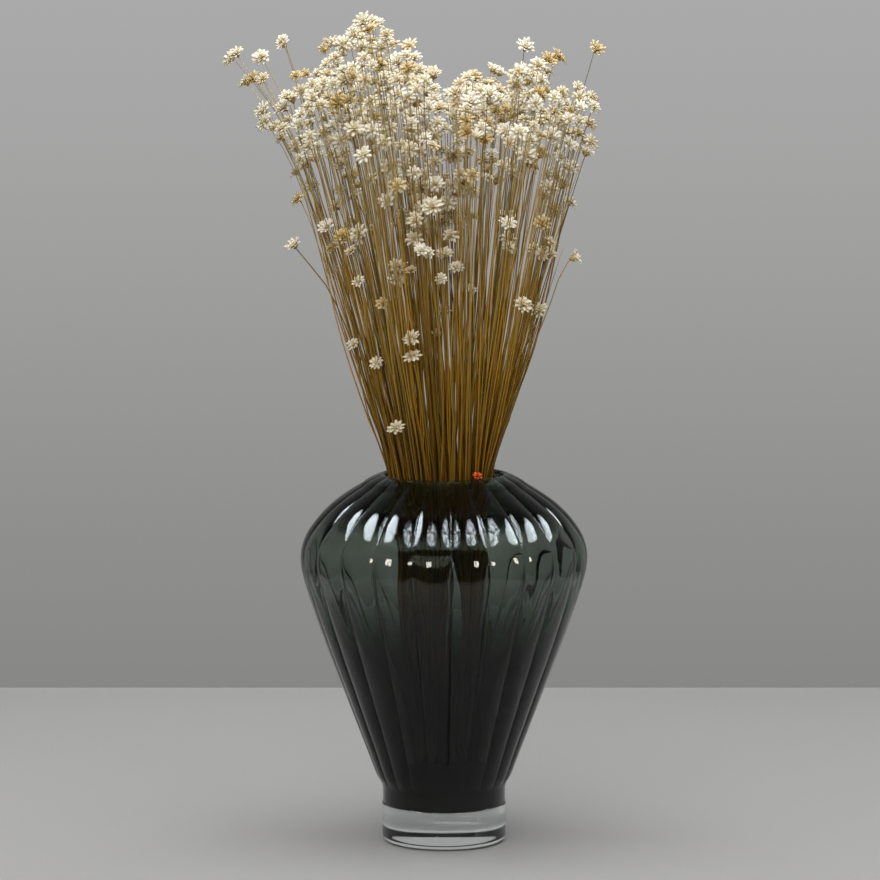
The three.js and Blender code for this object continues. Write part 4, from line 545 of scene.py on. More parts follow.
# ---------------------------------------------------------------- the stems
# One row per tuft, in tenths of a millimetre: [foot x, y], [place at the 120 mm level x, y], and its stems, each
# [offset x, y in the bundle, place in the mouth x, y, a point on the way x, y, z, flower centre x, y, z, its facing in hundredths x, y, z, flower radius (0 where the flower has dropped), a second point on the way x, y, z if any].
TUFTS = [
  [[-90,-186],[-109,-216],[[-4,10,-155,-249,-335,-548,3226,-513,-776,4283,-2,-30,95,55],[0,0,-144,-281,-293,-536,3153,-461,-825,4136,-32,-49,81,51],[10,-4,-74,-310,-129,-405,2616,-191,-512,3062,-55,-27,79,47],[4,-10,-100,-308,-140,-393,2562,-185,-488,2955,-26,-8,96,46],[4,10,-116,-264,-277,-579,3430,-458,-934,4690,-6,-48,88,39],[-10,4,-193,-251,-372,-557,3466,-575,-901,4763,-4,-85,53,50],[10,4,-93,-283,-240,-619,3408,-406,-999,4646,-26,-45,86,36],[-4,-10,-122,-294,-279,-639,3529,-456,-1028,4888,-20,-51,83,50],[-10,-4,-171,-273,-252,-382,2726,-343,-505,3282,-4,-57,82,0]]],
  [[-169,23],[-202,29],[[-8,8,-257,54,-585,7,3421,-1073,-59,4673,-11,-48,87,54,-844,-28,4222],[11,0,-220,62,-448,0,3204,-706,-69,4238,-33,-60,73,45],[0,0,-240,37,-471,-58,3162,-732,-165,4154,-32,-45,83,35],[8,8,-237,59,-424,-3,2984,-635,-74,3798,-76,-14,63,46],[-8,-8,-252,22,-591,-38,3355,-1064,-121,4540,-45,-27,85,30,-846,-83,4113],[0,-11,-251,1,-379,-68,2580,-534,-143,2990,-28,-52,81,36],[-11,0,-268,37,-569,-32,3237,-921,-109,4304,-39,-11,92,39],[8,-8,-234,17,-502,-83,3373,-805,-197,4575,-45,-52,73,33],[0,11,-238,77,-568,19,3458,-939,-29,4747,-30,-35,89,45]]],
  [[-80,62],[-111,72],[[10,5,-103,103,-261,202,3437,-440,313,4705,-63,50,59,42],[-3,-11,-148,84,-335,155,3315,-547,235,4459,4,21,98,55],[5,-10,-104,77,-257,40,3176,-424,-2,4183,29,69,66,45],[3,11,-120,119,-257,183,3141,-410,256,4113,-33,30,90,48],[-11,3,-181,107,-367,99,3069,-582,172,3968,-44,12,89,40],[0,0,-142,112,-304,199,3331,-487,297,4491,20,18,96,51],[-10,-5,-179,88,-387,135,3312,-622,187,4453,-12,27,96,41],[-5,10,-159,106,-364,199,3432,-595,303,4693,-14,20,97,42],[11,-3,-127,91,-286,127,3256,-464,167,4342,-64,31,70,0]]],
  [[-189,-59],[-228,-68],[[2,11,-296,-58,-629,-97,3435,-1207,-274,4700,-5,-1,100,43,-897,-172,4245],[0,0,-271,-76,-549,-161,3372,-861,-358,4575,-29,-39,88,35],[10,5,-261,-58,-521,-211,3324,-830,-345,4478,31,-66,69,47],[-11,0,-309,-79,-557,-215,3229,-836,-368,4289,13,-53,84,50],[-7,9,-315,-53,-624,-121,3217,-946,-214,4263,-25,-25,94,44,-820,-174,3887],[2,-11,-288,-135,-516,-314,3198,-773,-515,4227,-27,-75,61,37],[10,-5,-264,-109,-508,-236,3170,-783,-381,4169,-38,-44,81,45],[-7,-9,-299,-106,-547,-253,3261,-828,-419,4351,-29,-33,90,41]]],
  [[-30,-170],[-36,-195],[[-11,2,-54,-233,-183,-472,3483,-329,-742,4795,-27,-57,77,33],[11,3,-2,-249,-104,-405,3197,-109,-605,4224,-36,-23,90,37],[9,-6,-19,-253,-91,-400,3096,-172,-566,4021,8,-69,72,38],[1,-11,-19,-273,-88,-410,2957,-167,-565,3744,-45,-38,80,51],[0,0,-40,-262,-103,-395,2905,-173,-546,3639,-30,-46,84,46],[-8,-8,-61,-285,-126,-420,2813,-196,-566,3455,-15,11,98,36],[4,10,-30,-237,-148,-426,3290,-281,-640,4409,-39,-68,62,39],[-6,10,-49,-235,-48,-249,2988,-135,-399,3806,-1,-66,76,41]]],
  [[-152,63],[-187,79],[[-11,0,-256,112,-550,71,3161,-879,33,4153,8,-48,87,38],[10,-5,-204,97,-405,99,3127,-631,100,4083,-49,-28,82,38],[0,0,-241,100,-476,65,3126,-766,54,4081,-1,-25,97,54],[10,4,-219,117,-466,120,3340,-744,124,4510,36,-36,86,50],[-7,9,-239,128,-421,112,3031,-625,95,3892,-17,-48,86,37],[3,11,-225,144,-474,198,3370,-755,260,4570,-20,21,96,38],[-7,-8,-263,81,-498,73,3152,-875,-39,4134,-34,24,91,39],[2,-11,-221,85,-432,66,3134,-669,44,4099,-31,-24,92,38]]],
  [[-156,-107],[-189,-125],[[3,11,-225,-118,-393,-294,3425,-628,-500,4681,-41,-61,67,43],[-7,9,-260,-134,-494,-345,3352,-758,-584,4533,-19,-47,86,41],[10,-5,-213,-176,-435,-430,3354,-686,-716,4537,-41,-42,81,44],[10,5,-199,-138,-340,-289,2916,-498,-461,3663,-79,-46,40,56],[-7,-9,-251,-186,-386,-330,2868,-538,-492,3566,-54,15,83,38],[0,0,-231,-154,-354,-284,2776,-494,-430,3381,-28,-37,89,36],[2,-11,-238,-210,-313,-279,2536,-397,-357,2902,-24,-46,86,37],[-11,0,-269,-164,-494,-432,3311,-748,-734,4452,-46,-74,50,46]]],
  [[-35,-20],[-51,-20],[[8,7,-38,-1,-150,30,3408,-276,64,4645,-21,-28,94,53],[-11,-3,-89,-28,-212,-65,3366,-351,-106,4561,-46,-42,78,44],[5,-10,-40,-55,-118,-35,3251,-193,-61,4332,-39,-37,84,54],[0,0,-48,-28,-132,-46,3104,-228,-67,4038,-56,-50,67,42],[-4,-10,-70,-56,-150,-40,2962,-241,-21,3753,14,-54,83,42],[0,11,-67,41,-126,11,2922,-216,-25,3675,1,-38,93,45],[11,-2,-20,-32,-113,-48,3353,-217,-66,4537,-37,-63,69,47],[-9,7,-66,-14,-181,-2,3382,-312,10,4593,14,-64,75,40]]],
  [[-7,-63],[-12,-73],[[-4,10,-14,-66,-75,-116,3457,-204,-168,4743,-28,-56,78,44],[-11,3,-44,-81,-143,-109,3304,-313,-159,4438,-59,-40,70,36],[6,10,43,-78,-10,-91,3298,-58,-121,4426,-8,-33,94,45],[-1,-11,7,-121,-57,-137,3256,-130,-155,4342,8,23,97,48],[-9,-6,-29,-99,-81,-134,3001,-140,-173,3833,-20,-53,82,47],[8,-8,17,-106,17,-117,2968,19,-109,3767,12,-22,97,51],[11,1,34,-103,26,-87,3147,16,-70,4124,-1,-29,96,36],[0,0,-4,-95,-49,-130,3218,-99,-170,4265,9,-76,65,42]]],
  [[6,53],[3,65],[[7,8,39,127,-10,194,3364,-65,270,4558,3,-26,96,57],[11,-1,40,97,-29,170,3314,-106,252,4457,-22,7,97,42],[-2,11,18,114,-26,154,3026,-75,198,3883,25,63,73,38],[6,-9,36,64,22,83,3039,7,104,3909,14,-1,99,33],[-10,5,-7,104,-85,158,3281,-173,220,4392,-2,63,78,48],[0,0,17,84,-55,132,3205,-136,186,4240,-44,1,90,51],[-3,-11,9,54,-64,95,3289,-146,141,4408,21,62,76,47],[-10,-4,-9,77,-65,113,3041,-129,153,3911,10,2,99,44]]],
  [[-197,-10],[-238,-9],[[11,2,-284,-11,-579,-68,3276,-936,-155,4382,-48,-34,81,54],[-11,3,-323,1,-560,-52,3009,-857,-117,3847,-62,-15,77,45,-732,-90,3545],[5,10,-288,15,-508,-29,2870,-882,-104,3570,-26,-6,96,48,-686,-65,3318],[8,-7,-275,-33,-457,-129,2869,-653,-212,3567,-46,10,88,41],[-9,-6,-320,-24,-635,-76,3422,-1242,-201,4673,-64,-45,62,49,-906,-130,4222],[0,0,-301,-8,-618,-80,3361,-1057,-179,4552,-46,-29,84,40,-856,-134,4123],[-1,-11,-310,-30,-621,-99,3310,-920,-206,4449,-12,-31,94,38],[-4,10,-318,16,-603,-21,3129,-842,-196,4087,-85,-30,44,38]]],
  [[-145,119],[-171,136],[[5,-10,-202,162,-354,222,2929,-525,289,3688,-17,-14,97,44],[8,7,-178,197,-358,457,3170,-561,751,4170,8,-21,97,53],[0,0,-207,179,-426,376,3282,-674,598,4394,-77,-11,63,43],[11,-2,-182,177,-360,375,3175,-559,598,4181,-26,23,94,51],[-1,11,-201,197,-365,408,3062,-550,645,3953,-29,36,89,55],[-4,-10,-203,141,-440,228,3296,-707,327,4421,-34,25,90,51],[-9,6,-225,195,-458,463,3439,-720,766,4709,-20,67,71,39],[-11,-3,-225,169,-462,331,3309,-729,513,4449,-26,29,92,46]]],
  [[-109,-69],[-132,-78],[[-6,-9,-171,-124,-345,-314,3466,-541,-529,4761,-20,-47,86,46],[10,-4,-137,-125,-298,-270,3456,-479,-433,4742,-21,-39,90,46],[-11,-1,-186,-99,-404,-219,3295,-615,-337,4419,-26,-58,77,51],[10,5,-151,-75,-345,-181,3270,-564,-299,4369,-29,-43,85,46],[0,0,-152,-101,-309,-255,3266,-486,-429,4362,-49,-18,86,48],[-7,8,-181,-70,-382,-193,3241,-608,-333,4313,-62,-44,65,41],[2,11,-151,-51,-308,-109,3200,-485,-174,4230,-25,-34,91,38],[3,-11,-160,-147,-319,-311,3212,-497,-497,4254,44,-26,86,0]]],
  [[7,-9],[4,-8],[[-6,9,14,11,-99,16,3419,-178,80,4669,-14,-25,96,45],[10,4,39,10,49,0,3132,60,-12,4095,-43,-68,60,48],[4,10,30,38,14,41,3066,-5,46,3962,-18,-22,96,42],[-8,-8,7,-23,74,-37,2938,1,-23,3706,-24,-23,94,49],[0,0,0,-13,-55,-6,2917,-118,3,3663,4,-52,85,40],[-11,1,-13,17,-55,-42,3173,-141,33,4175,-25,20,95,53],[9,-6,34,-20,1,-8,3014,-35,6,3858,0,-55,84,43],[1,-11,36,-53,-18,-43,3331,-58,-77,4492,-14,-29,95,39]]],
  [[-112,91],[-133,111],[[9,-7,-134,134,-280,265,3462,-445,445,4755,-1,13,99,52],[0,-11,-174,131,-397,225,3458,-648,333,4746,-31,67,68,43],[-9,-7,-138,148,-280,193,3010,-536,211,3849,-66,9,75,48],[-11,2,-179,151,-416,268,3457,-682,400,4744,51,18,84,42],[0,0,-157,141,-357,281,3274,-583,440,4378,-51,34,79,40],[11,3,-143,162,-340,325,3343,-563,509,4516,-1,-27,96,46],[5,10,-158,185,-356,457,3462,-579,765,4755,-36,-22,91,48],[-5,10,-165,165,-331,263,3036,-517,374,3902,-25,-2,97,45]]],
  [[-119,-134],[-145,-156],[[11,2,-146,-197,-322,-438,3496,-513,-715,4822,-59,-56,58,49],[9,-7,-144,-198,-333,-459,3394,-578,-818,4618,-39,10,92,43],[5,10,-156,-171,-349,-416,3362,-566,-692,4553,-69,-33,65,57],[0,-11,-182,-225,-263,-335,2713,-354,-458,3255,-22,-88,41,39],[-9,-7,-215,-234,-245,-303,2346,-280,-380,2522,-16,-28,95,45],[-5,10,-184,-165,-356,-379,3304,-551,-620,4437,29,11,95,43],[-11,3,-209,-208,-408,-475,3352,-632,-777,4533,-60,-63,49,41],[0,0,-182,-195,-348,-435,3204,-535,-707,4239,-22,-54,81,0]]],
  [[-9,-207],[-14,-239],[[-1,11,-7,-292,-15,-483,2999,-69,-609,3828,-28,-47,84,54],[11,-2,40,-307,54,-331,2908,37,-343,3646,-1,-64,77,44],[-11,-3,-50,-315,-88,-455,2872,-132,-614,3574,8,-44,89,42],[-4,-10,-25,-319,-47,-439,2861,-92,-555,3553,-10,-45,89,36],[5,-10,33,-317,19,-431,2816,68,-373,3462,8,2,100,41],[0,0,2,-320,11,-409,2787,-17,-501,3404,-16,-56,81,33],[-9,7,-32,-292,-142,-556,3364,-267,-854,4558,-68,-37,63,46],[8,7,14,-302,-43,-495,3362,-108,-712,4554,53,-22,82,42]]],
  [[1,-139],[-4,-164],[[-4,-10,-2,-226,-76,-386,3351,-160,-567,4533,25,-50,83,48],[11,-2,42,-216,58,-177,2941,76,-133,3712,38,13,91,49],[8,8,21,-196,-16,-264,3194,-58,-340,4218,66,-27,70,47],[6,-10,16,-239,-50,-294,3234,-37,-396,4299,-7,-43,90,43],[0,0,19,-218,-33,-301,3280,-92,-395,4390,-11,-50,86,43],[-11,-3,-18,-220,-99,-360,3236,-190,-518,4302,-6,-29,96,43],[-9,6,-17,-187,-157,-323,3432,-221,-470,4694,-17,-27,95,38],[-1,11,4,-198,-50,-389,3240,-148,-493,4310,-12,-59,80,0]]],
  [[-145,-44],[-173,-43],[[-10,-4,-217,-72,-434,-308,3289,-783,-514,4407,-43,-26,87,45],[-1,11,-242,-29,-539,-137,3284,-724,-228,4398,20,-22,95,51],[-4,-10,-241,-89,-404,-209,2904,-588,-344,3638,35,-22,91,54],[6,-9,-211,-87,-445,-226,3407,-682,-430,4644,-48,2,88,46],[8,8,-195,-30,-413,-97,3309,-677,-175,4448,-12,-2,99,41],[11,-1,-171,-40,-349,-123,3245,-548,-218,4320,-22,-45,87,41],[-9,6,-247,-32,-488,-143,3260,-770,-280,4350,-80,-42,42,48],[0,0,-202,-53,-407,-124,3181,-601,-248,4193,10,-78,61,47]]],
  [[-68,-149],[-83,-179],[[-3,-11,-90,-259,-250,-536,3508,-431,-849,4846,-27,-16,95,46],[-10,5,-125,-209,-310,-478,3371,-518,-781,4573,-16,-59,79,46],[-10,-5,-129,-238,-279,-524,3364,-449,-846,4558,-34,-80,50,46],[0,0,-107,-237,-250,-471,3223,-411,-734,4275,-23,-46,86,50],[7,9,-71,-211,-207,-441,3458,-361,-701,4746,10,-48,87,47],[-2,11,-100,-210,-249,-456,3305,-417,-734,4441,-42,-11,90,45],[11,0,-84,-231,-171,-416,3060,-270,-625,3949,-16,-47,87,49],[7,-9,-69,-247,-230,-540,3491,-328,-880,4813,3,-52,85,39]]],
  [[-74,111],[-92,130],[[-6,-9,-121,154,-236,297,3074,-366,458,3978,-16,10,98,42],[-11,-1,-132,180,-242,304,3038,-366,445,3906,-5,-25,97,39],[2,11,-114,198,-224,394,3160,-349,616,4151,-24,40,88,52],[0,0,-106,177,-236,396,3338,-383,643,4506,27,37,89,48],[10,-4,-91,159,-209,403,3480,-341,679,4790,0,60,80,42],[3,-11,-101,134,-229,258,3277,-373,436,4384,-52,15,84,46],[10,6,-83,193,-160,313,2919,-188,519,3667,-6,45,89,50],[-8,8,-143,197,-300,438,3129,-477,710,4088,-5,44,90,48]]],
  [[-38,87],[-51,108],[[-11,-1,-75,141,-197,257,3324,-334,388,4477,-9,-43,90,42],[0,0,-51,145,-112,203,2899,-181,268,3628,12,36,93,43],[-7,8,-64,167,-135,333,3095,-214,519,4020,-56,-14,82,49],[10,-4,-28,131,-120,283,3260,-223,455,4350,52,-9,85,49],[-6,-9,-79,117,-219,246,3387,-376,392,4604,-38,58,72,46],[2,11,-51,193,-95,436,3066,-182,631,3963,0,-5,100,43],[3,-11,-48,116,-127,209,3061,-216,313,3952,23,-38,89,43],[10,5,-38,160,-99,435,3141,-180,554,4112,-19,15,97,0]]],
  [[-67,-59],[-85,-68],[[11,-3,-63,-101,-200,-181,3286,-355,-270,4403,-6,24,97,51],[4,-10,-89,-103,-209,-174,3240,-343,-255,4309,-60,-43,67,42],[0,0,-107,-80,-224,-150,3204,-356,-229,4238,-23,-30,93,43],[1,11,-88,-47,-182,-115,3103,-307,-141,4037,1,-64,77,57],[-6,-9,-110,-110,-254,-230,3355,-405,-397,4540,-46,-13,88,47],[9,6,-82,-79,-159,-149,3075,-286,-210,3981,-60,-55,58,49],[-8,8,-123,-62,-266,-142,3524,-396,-219,4878,60,5,80,49],[-11,-1,-127,-92,-283,-223,3354,-458,-370,4538,2,11,99,0]]],
  [[21,-177],[15,-204],[[3,11,44,-242,80,-199,3047,42,-223,3925,-33,-75,57,48],[10,4,38,-249,68,-302,3024,72,-170,3877,-2,-2,100,42],[-6,9,35,-252,60,-248,3001,20,-257,3833,-20,-74,65,48],[2,-11,41,-288,16,-311,2855,2,-387,3540,-12,-2,99,48],[0,0,34,-272,-6,-363,3061,-52,-464,3953,-18,-36,91,49],[-7,-8,20,-282,-22,-406,3173,-69,-547,4176,25,10,96,43],[10,-5,41,-271,29,-264,3217,1,-309,4265,-21,-24,95,43],[-11,1,0,-271,-86,-474,3333,-160,-710,4497,-15,-39,91,43]]],
  [[-181,95],[-214,115],[[7,-9,-263,141,-606,115,3358,-1132,74,4545,-56,-30,77,48,-873,94,4118],[-10,5,-289,147,-576,138,3298,-899,127,4426,13,20,97,52],[7,9,-242,179,-469,300,3236,-725,437,4302,-60,-35,72,48],[11,0,-245,155,-504,187,3225,-796,224,4280,-28,20,94,51],[-10,-5,-300,121,-545,132,3101,-822,145,4032,-68,-11,72,49],[0,0,-271,168,-504,304,3111,-767,457,4053,0,-19,98,44],[-2,11,-255,195,-418,294,2890,-602,404,3610,-29,28,92,52],[-2,-11,-279,130,-512,116,3037,-776,100,3905,-15,-71,69,50]]],
  [[-134,-2],[-163,7],[[0,0,-217,21,-438,-29,3374,-687,-86,4578,-1,-13,99,49],[-9,6,-213,40,-465,-41,3322,-749,-133,4474,-36,-13,92,51],[-4,-11,-198,12,-467,-88,3181,-653,-183,4192,-34,-23,91,42],[-10,-4,-235,-6,-450,-50,2929,-685,-192,3687,-43,-41,81,49],[11,-1,-184,10,-400,-46,3223,-644,-110,4275,2,-12,99,49],[-1,11,-206,74,-409,81,3254,-638,90,4338,49,25,84,46],[8,8,-198,62,-387,0,3109,-601,-70,4047,-72,-45,53,47],[6,-9,-175,-14,-389,-102,3408,-630,-202,4645,-11,-82,57,48]]],
  [[-100,25],[-124,29],[[11,-3,-130,40,-299,80,3392,-490,124,4614,-59,34,73,49],[-8,7,-177,68,-297,76,2917,-432,86,3664,-19,-4,98,31],[9,7,-129,67,-301,110,3338,-494,159,4505,-37,42,83,46],[0,11,-157,63,-347,135,3291,-496,153,4412,15,-13,98,47],[-11,-2,-182,34,-396,9,3376,-639,-20,4583,-42,10,90,43],[-5,-10,-166,21,-348,61,3142,-583,-24,4113,5,-24,97,41],[0,0,-158,43,-338,16,3388,-540,-14,4606,-53,-47,71,48],[4,-10,-140,17,-306,-23,3333,-493,-68,4496,61,-8,79,40]]],
  [[-27,-106],[-37,-125],[[2,11,-2,-135,-69,-174,3383,-144,-218,4597,27,-60,75,45],[10,-4,-19,-168,-108,-283,3308,-213,-392,4446,-45,-65,61,46],[3,-11,-61,-190,-111,-264,3215,-197,-327,4260,-18,-35,92,45],[10,5,-17,-153,-80,-239,3151,-151,-336,4132,23,-45,86,46],[0,0,-43,-155,-121,-263,3395,-209,-385,4621,-9,-45,89,45],[-11,-1,-60,-181,-157,-328,3322,-266,-495,4474,-41,-67,62,45],[-7,8,-44,-124,-167,-200,3218,-313,-342,4266,-29,-29,91,46],[-6,-9,-52,-198,-121,-330,3159,-203,-455,4149,-37,-64,67,49]]],
  [[-70,-104],[-82,-121],[[5,-10,-81,-187,-239,-411,3530,-417,-664,4889,-3,-21,98,48],[9,7,-68,-128,-217,-279,3407,-378,-435,4644,47,-10,88,53],[0,11,-89,-131,-211,-256,3181,-347,-397,4193,-23,-41,88,48],[11,-3,-66,-156,-152,-263,3170,-249,-384,4169,-46,-40,79,48],[0,0,-95,-159,-203,-268,3007,-325,-391,3845,-45,-56,70,50],[-5,-10,-114,-182,-211,-267,2818,-270,-392,3467,7,-4,100,52],[-11,-2,-131,-159,-201,-259,2779,-279,-372,3387,28,-43,86,45],[-8,7,-114,-142,-285,-312,3483,-477,-504,4796,-42,14,90,40]]],
  [[-206,46],[-241,52],[[-9,-7,-322,43,-617,-28,3472,-949,-107,4774,-32,-33,89,38],[0,0,-294,74,-609,28,3266,-1064,-39,4363,-59,-24,77,54,-849,-7,3968],[0,-11,-301,47,-607,-14,3233,-1055,-103,4295,-70,-52,49,53,-841,-60,3913],[11,3,-285,72,-577,3,3086,-873,-35,4002,-55,54,64,46],[-5,10,-307,94,-634,60,3350,-1171,2,4529,-63,24,74,46,-896,32,4104],[-11,2,-316,67,-604,22,3216,-983,-38,4261,-11,-10,99,47,-817,-12,3885],[9,-7,-294,59,-616,30,3184,-830,-76,4199,33,3,94,48],[5,10,-281,102,-576,61,3185,-955,7,4200,-38,-28,88,40,-792,30,3835]]],
  [[-38,40],[-50,50],[[11,2,-38,77,-140,148,3373,-255,228,4576,22,-32,92,35],[-4,10,-54,84,-144,165,3263,-246,255,4356,3,9,100,54],[5,10,-29,101,-109,141,3028,-185,208,3885,-28,-48,83,50],[8,-7,-21,61,-37,47,2932,-77,67,3693,-23,-76,61,43],[-9,-6,-79,58,-183,98,3246,-302,144,4322,23,-25,94,42],[-1,-11,-41,33,-157,82,3458,-300,199,4745,6,-6,100,45],[-11,3,-84,88,-223,174,3420,-380,272,4670,10,-7,99,34],[0,0,-58,63,-181,112,3418,-319,167,4666,-81,-19,55,38]]],
  [[2,102],[-3,122],[[6,-9,17,142,-52,247,3033,-130,365,3895,-17,71,69,42],[8,8,35,190,-13,366,3304,-68,563,4438,-22,25,94,46],[-1,11,5,193,-58,388,3318,-129,607,4467,6,73,68,45],[0,0,10,168,-36,244,2887,-89,330,3604,34,10,94,44],[-10,-4,6,128,-59,298,3150,-156,438,4131,-15,38,91,46],[-4,-10,-3,128,-94,200,3167,-196,308,4163,18,64,75,41],[11,-1,37,160,46,182,2961,55,207,3753,29,-14,94,50],[-9,6,-22,188,-80,376,3189,-144,589,4207,-24,19,95,38]]],
  [[17,-99],[11,-121],[[9,-6,34,-177,40,-169,3271,17,-150,4372,7,-26,96,44],[11,3,37,-147,-5,-189,3222,-52,-237,4274,-2,11,99,33],[4,10,40,-118,13,-145,3154,-17,-176,4137,13,-21,97,44],[-5,10,25,-133,-15,-178,3119,-60,-229,4069,-25,-17,95,51],[-11,2,5,-150,-52,-209,3083,-116,-275,3996,-47,-64,61,41],[0,0,18,-176,58,-148,2675,-5,-186,3181,0,-37,93,44],[-8,-7,-2,-179,-34,-208,2614,-41,-207,3059,25,22,94,33],[1,-11,40,-196,15,-180,3274,-29,-224,4378,-16,-30,94,48]]],
  [[-78,-12],[-96,-6],[[4,10,-105,23,-236,72,3318,-384,127,4467,-32,37,87,47],[0,-11,-119,-37,-269,-108,3282,-438,-188,4394,27,-11,96,40],[9,-7,-103,-6,-242,-16,3247,-400,-27,4325,-11,29,95,50],[-11,2,-153,-11,-285,-52,3064,-434,-98,3958,-67,-38,64,45],[11,3,-78,11,-166,25,3054,-265,40,3939,-31,-27,91,40],[-5,10,-101,46,-187,62,2926,-284,79,3682,-46,-6,88,31],[-8,-7,-140,-28,-291,-82,3232,-462,-143,4294,-18,-30,94,46],[0,0,-126,-5,-271,-49,3278,-434,-98,4386,-38,-42,83,46]]],
  [[163,-40],[167,-43],[[11,0,219,-48,405,-168,3357,565,-305,4543,28,-28,92,47],[-3,-11,178,-69,246,-82,3328,323,-96,4485,30,-35,89,42],[0,0,192,-49,322,-99,3244,469,-154,4317,-31,9,95,42],[-10,5,151,-34,213,-50,3210,301,-50,4249,47,-36,80,54],[7,-9,205,-66,344,-191,3183,503,-304,4195,-12,-69,71,50],[-10,-4,170,-43,236,-48,3265,310,-52,4361,19,-37,91,44],[7,8,201,-31,320,1,3320,455,37,4469,0,7,100,44],[-2,11,170,-22,263,-15,3267,368,-7,4364,41,-33,85,38]]],
  [[164,-148],[175,-170],[[10,4,210,-208,329,-437,3456,464,-695,4742,23,-47,85,54],[-11,1,180,-217,289,-465,3350,412,-745,4531,20,-58,79,54],[9,-6,222,-232,358,-443,3230,511,-681,4290,58,-24,78,37],[1,-11,197,-250,306,-495,3218,429,-771,4265,-13,-53,84,52],[-6,9,182,-192,273,-356,3179,375,-542,4187,60,-52,61,43],[4,10,203,-185,300,-422,2946,372,-497,3722,12,-39,91,46],[-8,-8,168,-237,211,-426,3324,259,-640,4478,34,-2,94,48],[0,0,198,-229,304,-500,3387,422,-805,4603,-43,-48,76,54]]],
  [[108,27],[110,38],[[9,7,131,75,221,125,3379,304,254,4588,11,19,98,40],[5,-10,117,22,146,64,3328,178,111,4485,37,20,91,45],[-11,-2,94,47,117,73,3148,143,102,4125,31,45,84,36],[-9,7,97,79,130,92,2952,167,107,3734,28,8,96,37],[0,0,114,55,181,142,3318,257,239,4466,-10,-33,94,44],[0,11,97,102,119,182,3135,144,272,4100,0,-7,100,45],[11,-3,137,45,209,114,3349,290,193,4529,8,41,91,44],[-5,-10,95,16,76,31,3287,54,47,4404,-5,-23,97,46]]],
  [[145,49],[154,60],[[7,9,182,116,295,221,3268,424,340,4366,29,30,91,38],[-2,-11,159,36,243,103,3232,339,178,4294,67,2,74,50],[0,0,170,97,291,182,3223,426,277,4277,33,15,93,39],[-2,11,168,141,237,252,3049,313,377,3927,12,8,99,50],[-10,5,152,91,284,121,3203,363,332,4235,19,24,95,44],[7,-9,186,46,269,156,3250,413,196,4330,13,75,65,44],[-10,-5,161,67,261,134,3317,375,211,4464,22,44,87,49],[11,0,188,76,291,155,3151,407,245,4133,30,66,69,0]]],
  [[191,-78],[206,-88],[[-2,11,230,-80,457,-263,3322,686,-347,4475,24,-53,81,41],[-3,-11,237,-141,408,-310,3198,617,-489,4226,4,-66,75,51],[0,0,218,-118,394,-302,3141,480,-350,4111,-11,-52,85,56],[7,9,210,-84,386,-212,2942,572,-337,3714,25,-65,72,50],[-10,5,201,-87,367,-260,3317,489,-470,4464,6,-78,63,47],[7,-9,267,-138,521,-350,3283,784,-523,4395,25,-43,87,37],[11,0,247,-119,433,-264,3269,643,-427,4368,26,-55,80,47],[-10,-5,217,-127,395,-291,3417,597,-476,4664,51,-21,83,50]]],
  [[114,-21],[116,-24],[[0,0,125,-37,188,-34,3344,259,-30,4518,-7,34,94,47],[-9,6,95,-10,137,-1,3247,183,9,4323,31,-46,83,45],[-3,-11,96,-63,90,-58,3174,83,-53,4179,-26,-22,94,36],[-1,11,120,-8,175,34,3116,237,80,4061,17,-33,93,48],[6,-9,120,-57,175,-1,3090,258,32,4011,-33,-14,93,38],[8,8,139,17,229,77,3374,330,144,4577,53,35,77,46],[11,-1,141,-12,209,32,3385,286,83,4600,47,8,88,42],[-10,-4,98,-36,110,-16,3317,124,7,4464,-42,-20,88,49]]],
  [[199,-122],[214,-143],[[-5,10,233,-163,378,-339,3403,541,-537,4636,-14,-43,89,53],[-11,2,232,-181,369,-390,3295,523,-625,4420,24,-89,38,46],[0,0,250,-183,442,-436,3294,658,-720,4417,9,-81,58,33],[-8,-7,226,-198,382,-410,3204,557,-648,4238,20,-18,96,40],[9,-6,260,-197,354,-299,2708,461,-414,3246,25,-41,88,51],[1,-11,241,-213,422,-491,3315,627,-805,4460,-23,-80,56,38],[11,3,276,-167,485,-347,3248,721,-551,4326,37,-51,78,43],[4,10,253,-160,452,-319,3213,673,-485,4256,37,-75,55,0]]],
  [[240,-10],[256,-10],[[3,11,307,28,571,-28,3304,869,-92,4438,83,-31,47,42],[-7,-9,286,-13,516,-128,3294,813,-189,4418,40,-35,85,42],[-11,0,268,-22,488,-96,3262,737,-179,4353,46,-49,74,41],[10,5,307,14,564,-6,3227,854,-29,4284,50,-32,81,48],[0,0,307,-8,532,-60,3202,787,-119,4234,40,-27,87,46],[2,-11,312,-24,507,-57,3099,725,-111,4027,32,-34,89,51],[10,-5,308,-42,445,-56,2844,620,-127,3517,24,-15,96,42],[-7,9,289,7,543,-30,3178,829,-72,4185,54,-16,83,38]]],
  [[200,8],[218,14],[[11,-2,285,28,572,15,3443,894,0,4717,17,-46,87,53],[-11,-3,224,23,353,101,3349,498,188,4527,11,67,74,53],[9,7,265,26,424,57,3239,604,91,4309,20,-37,91,53],[-9,7,234,44,364,79,3106,510,119,4042,59,-5,81,54],[0,11,253,49,408,101,3131,583,160,4092,63,63,46,51],[-5,-10,249,-8,465,-66,3290,709,-132,4410,68,6,73,44],[5,-10,266,3,456,-22,3218,671,-51,4267,59,-32,74,50],[0,0,246,19,373,59,3195,515,103,4220,-42,-28,86,39]]],
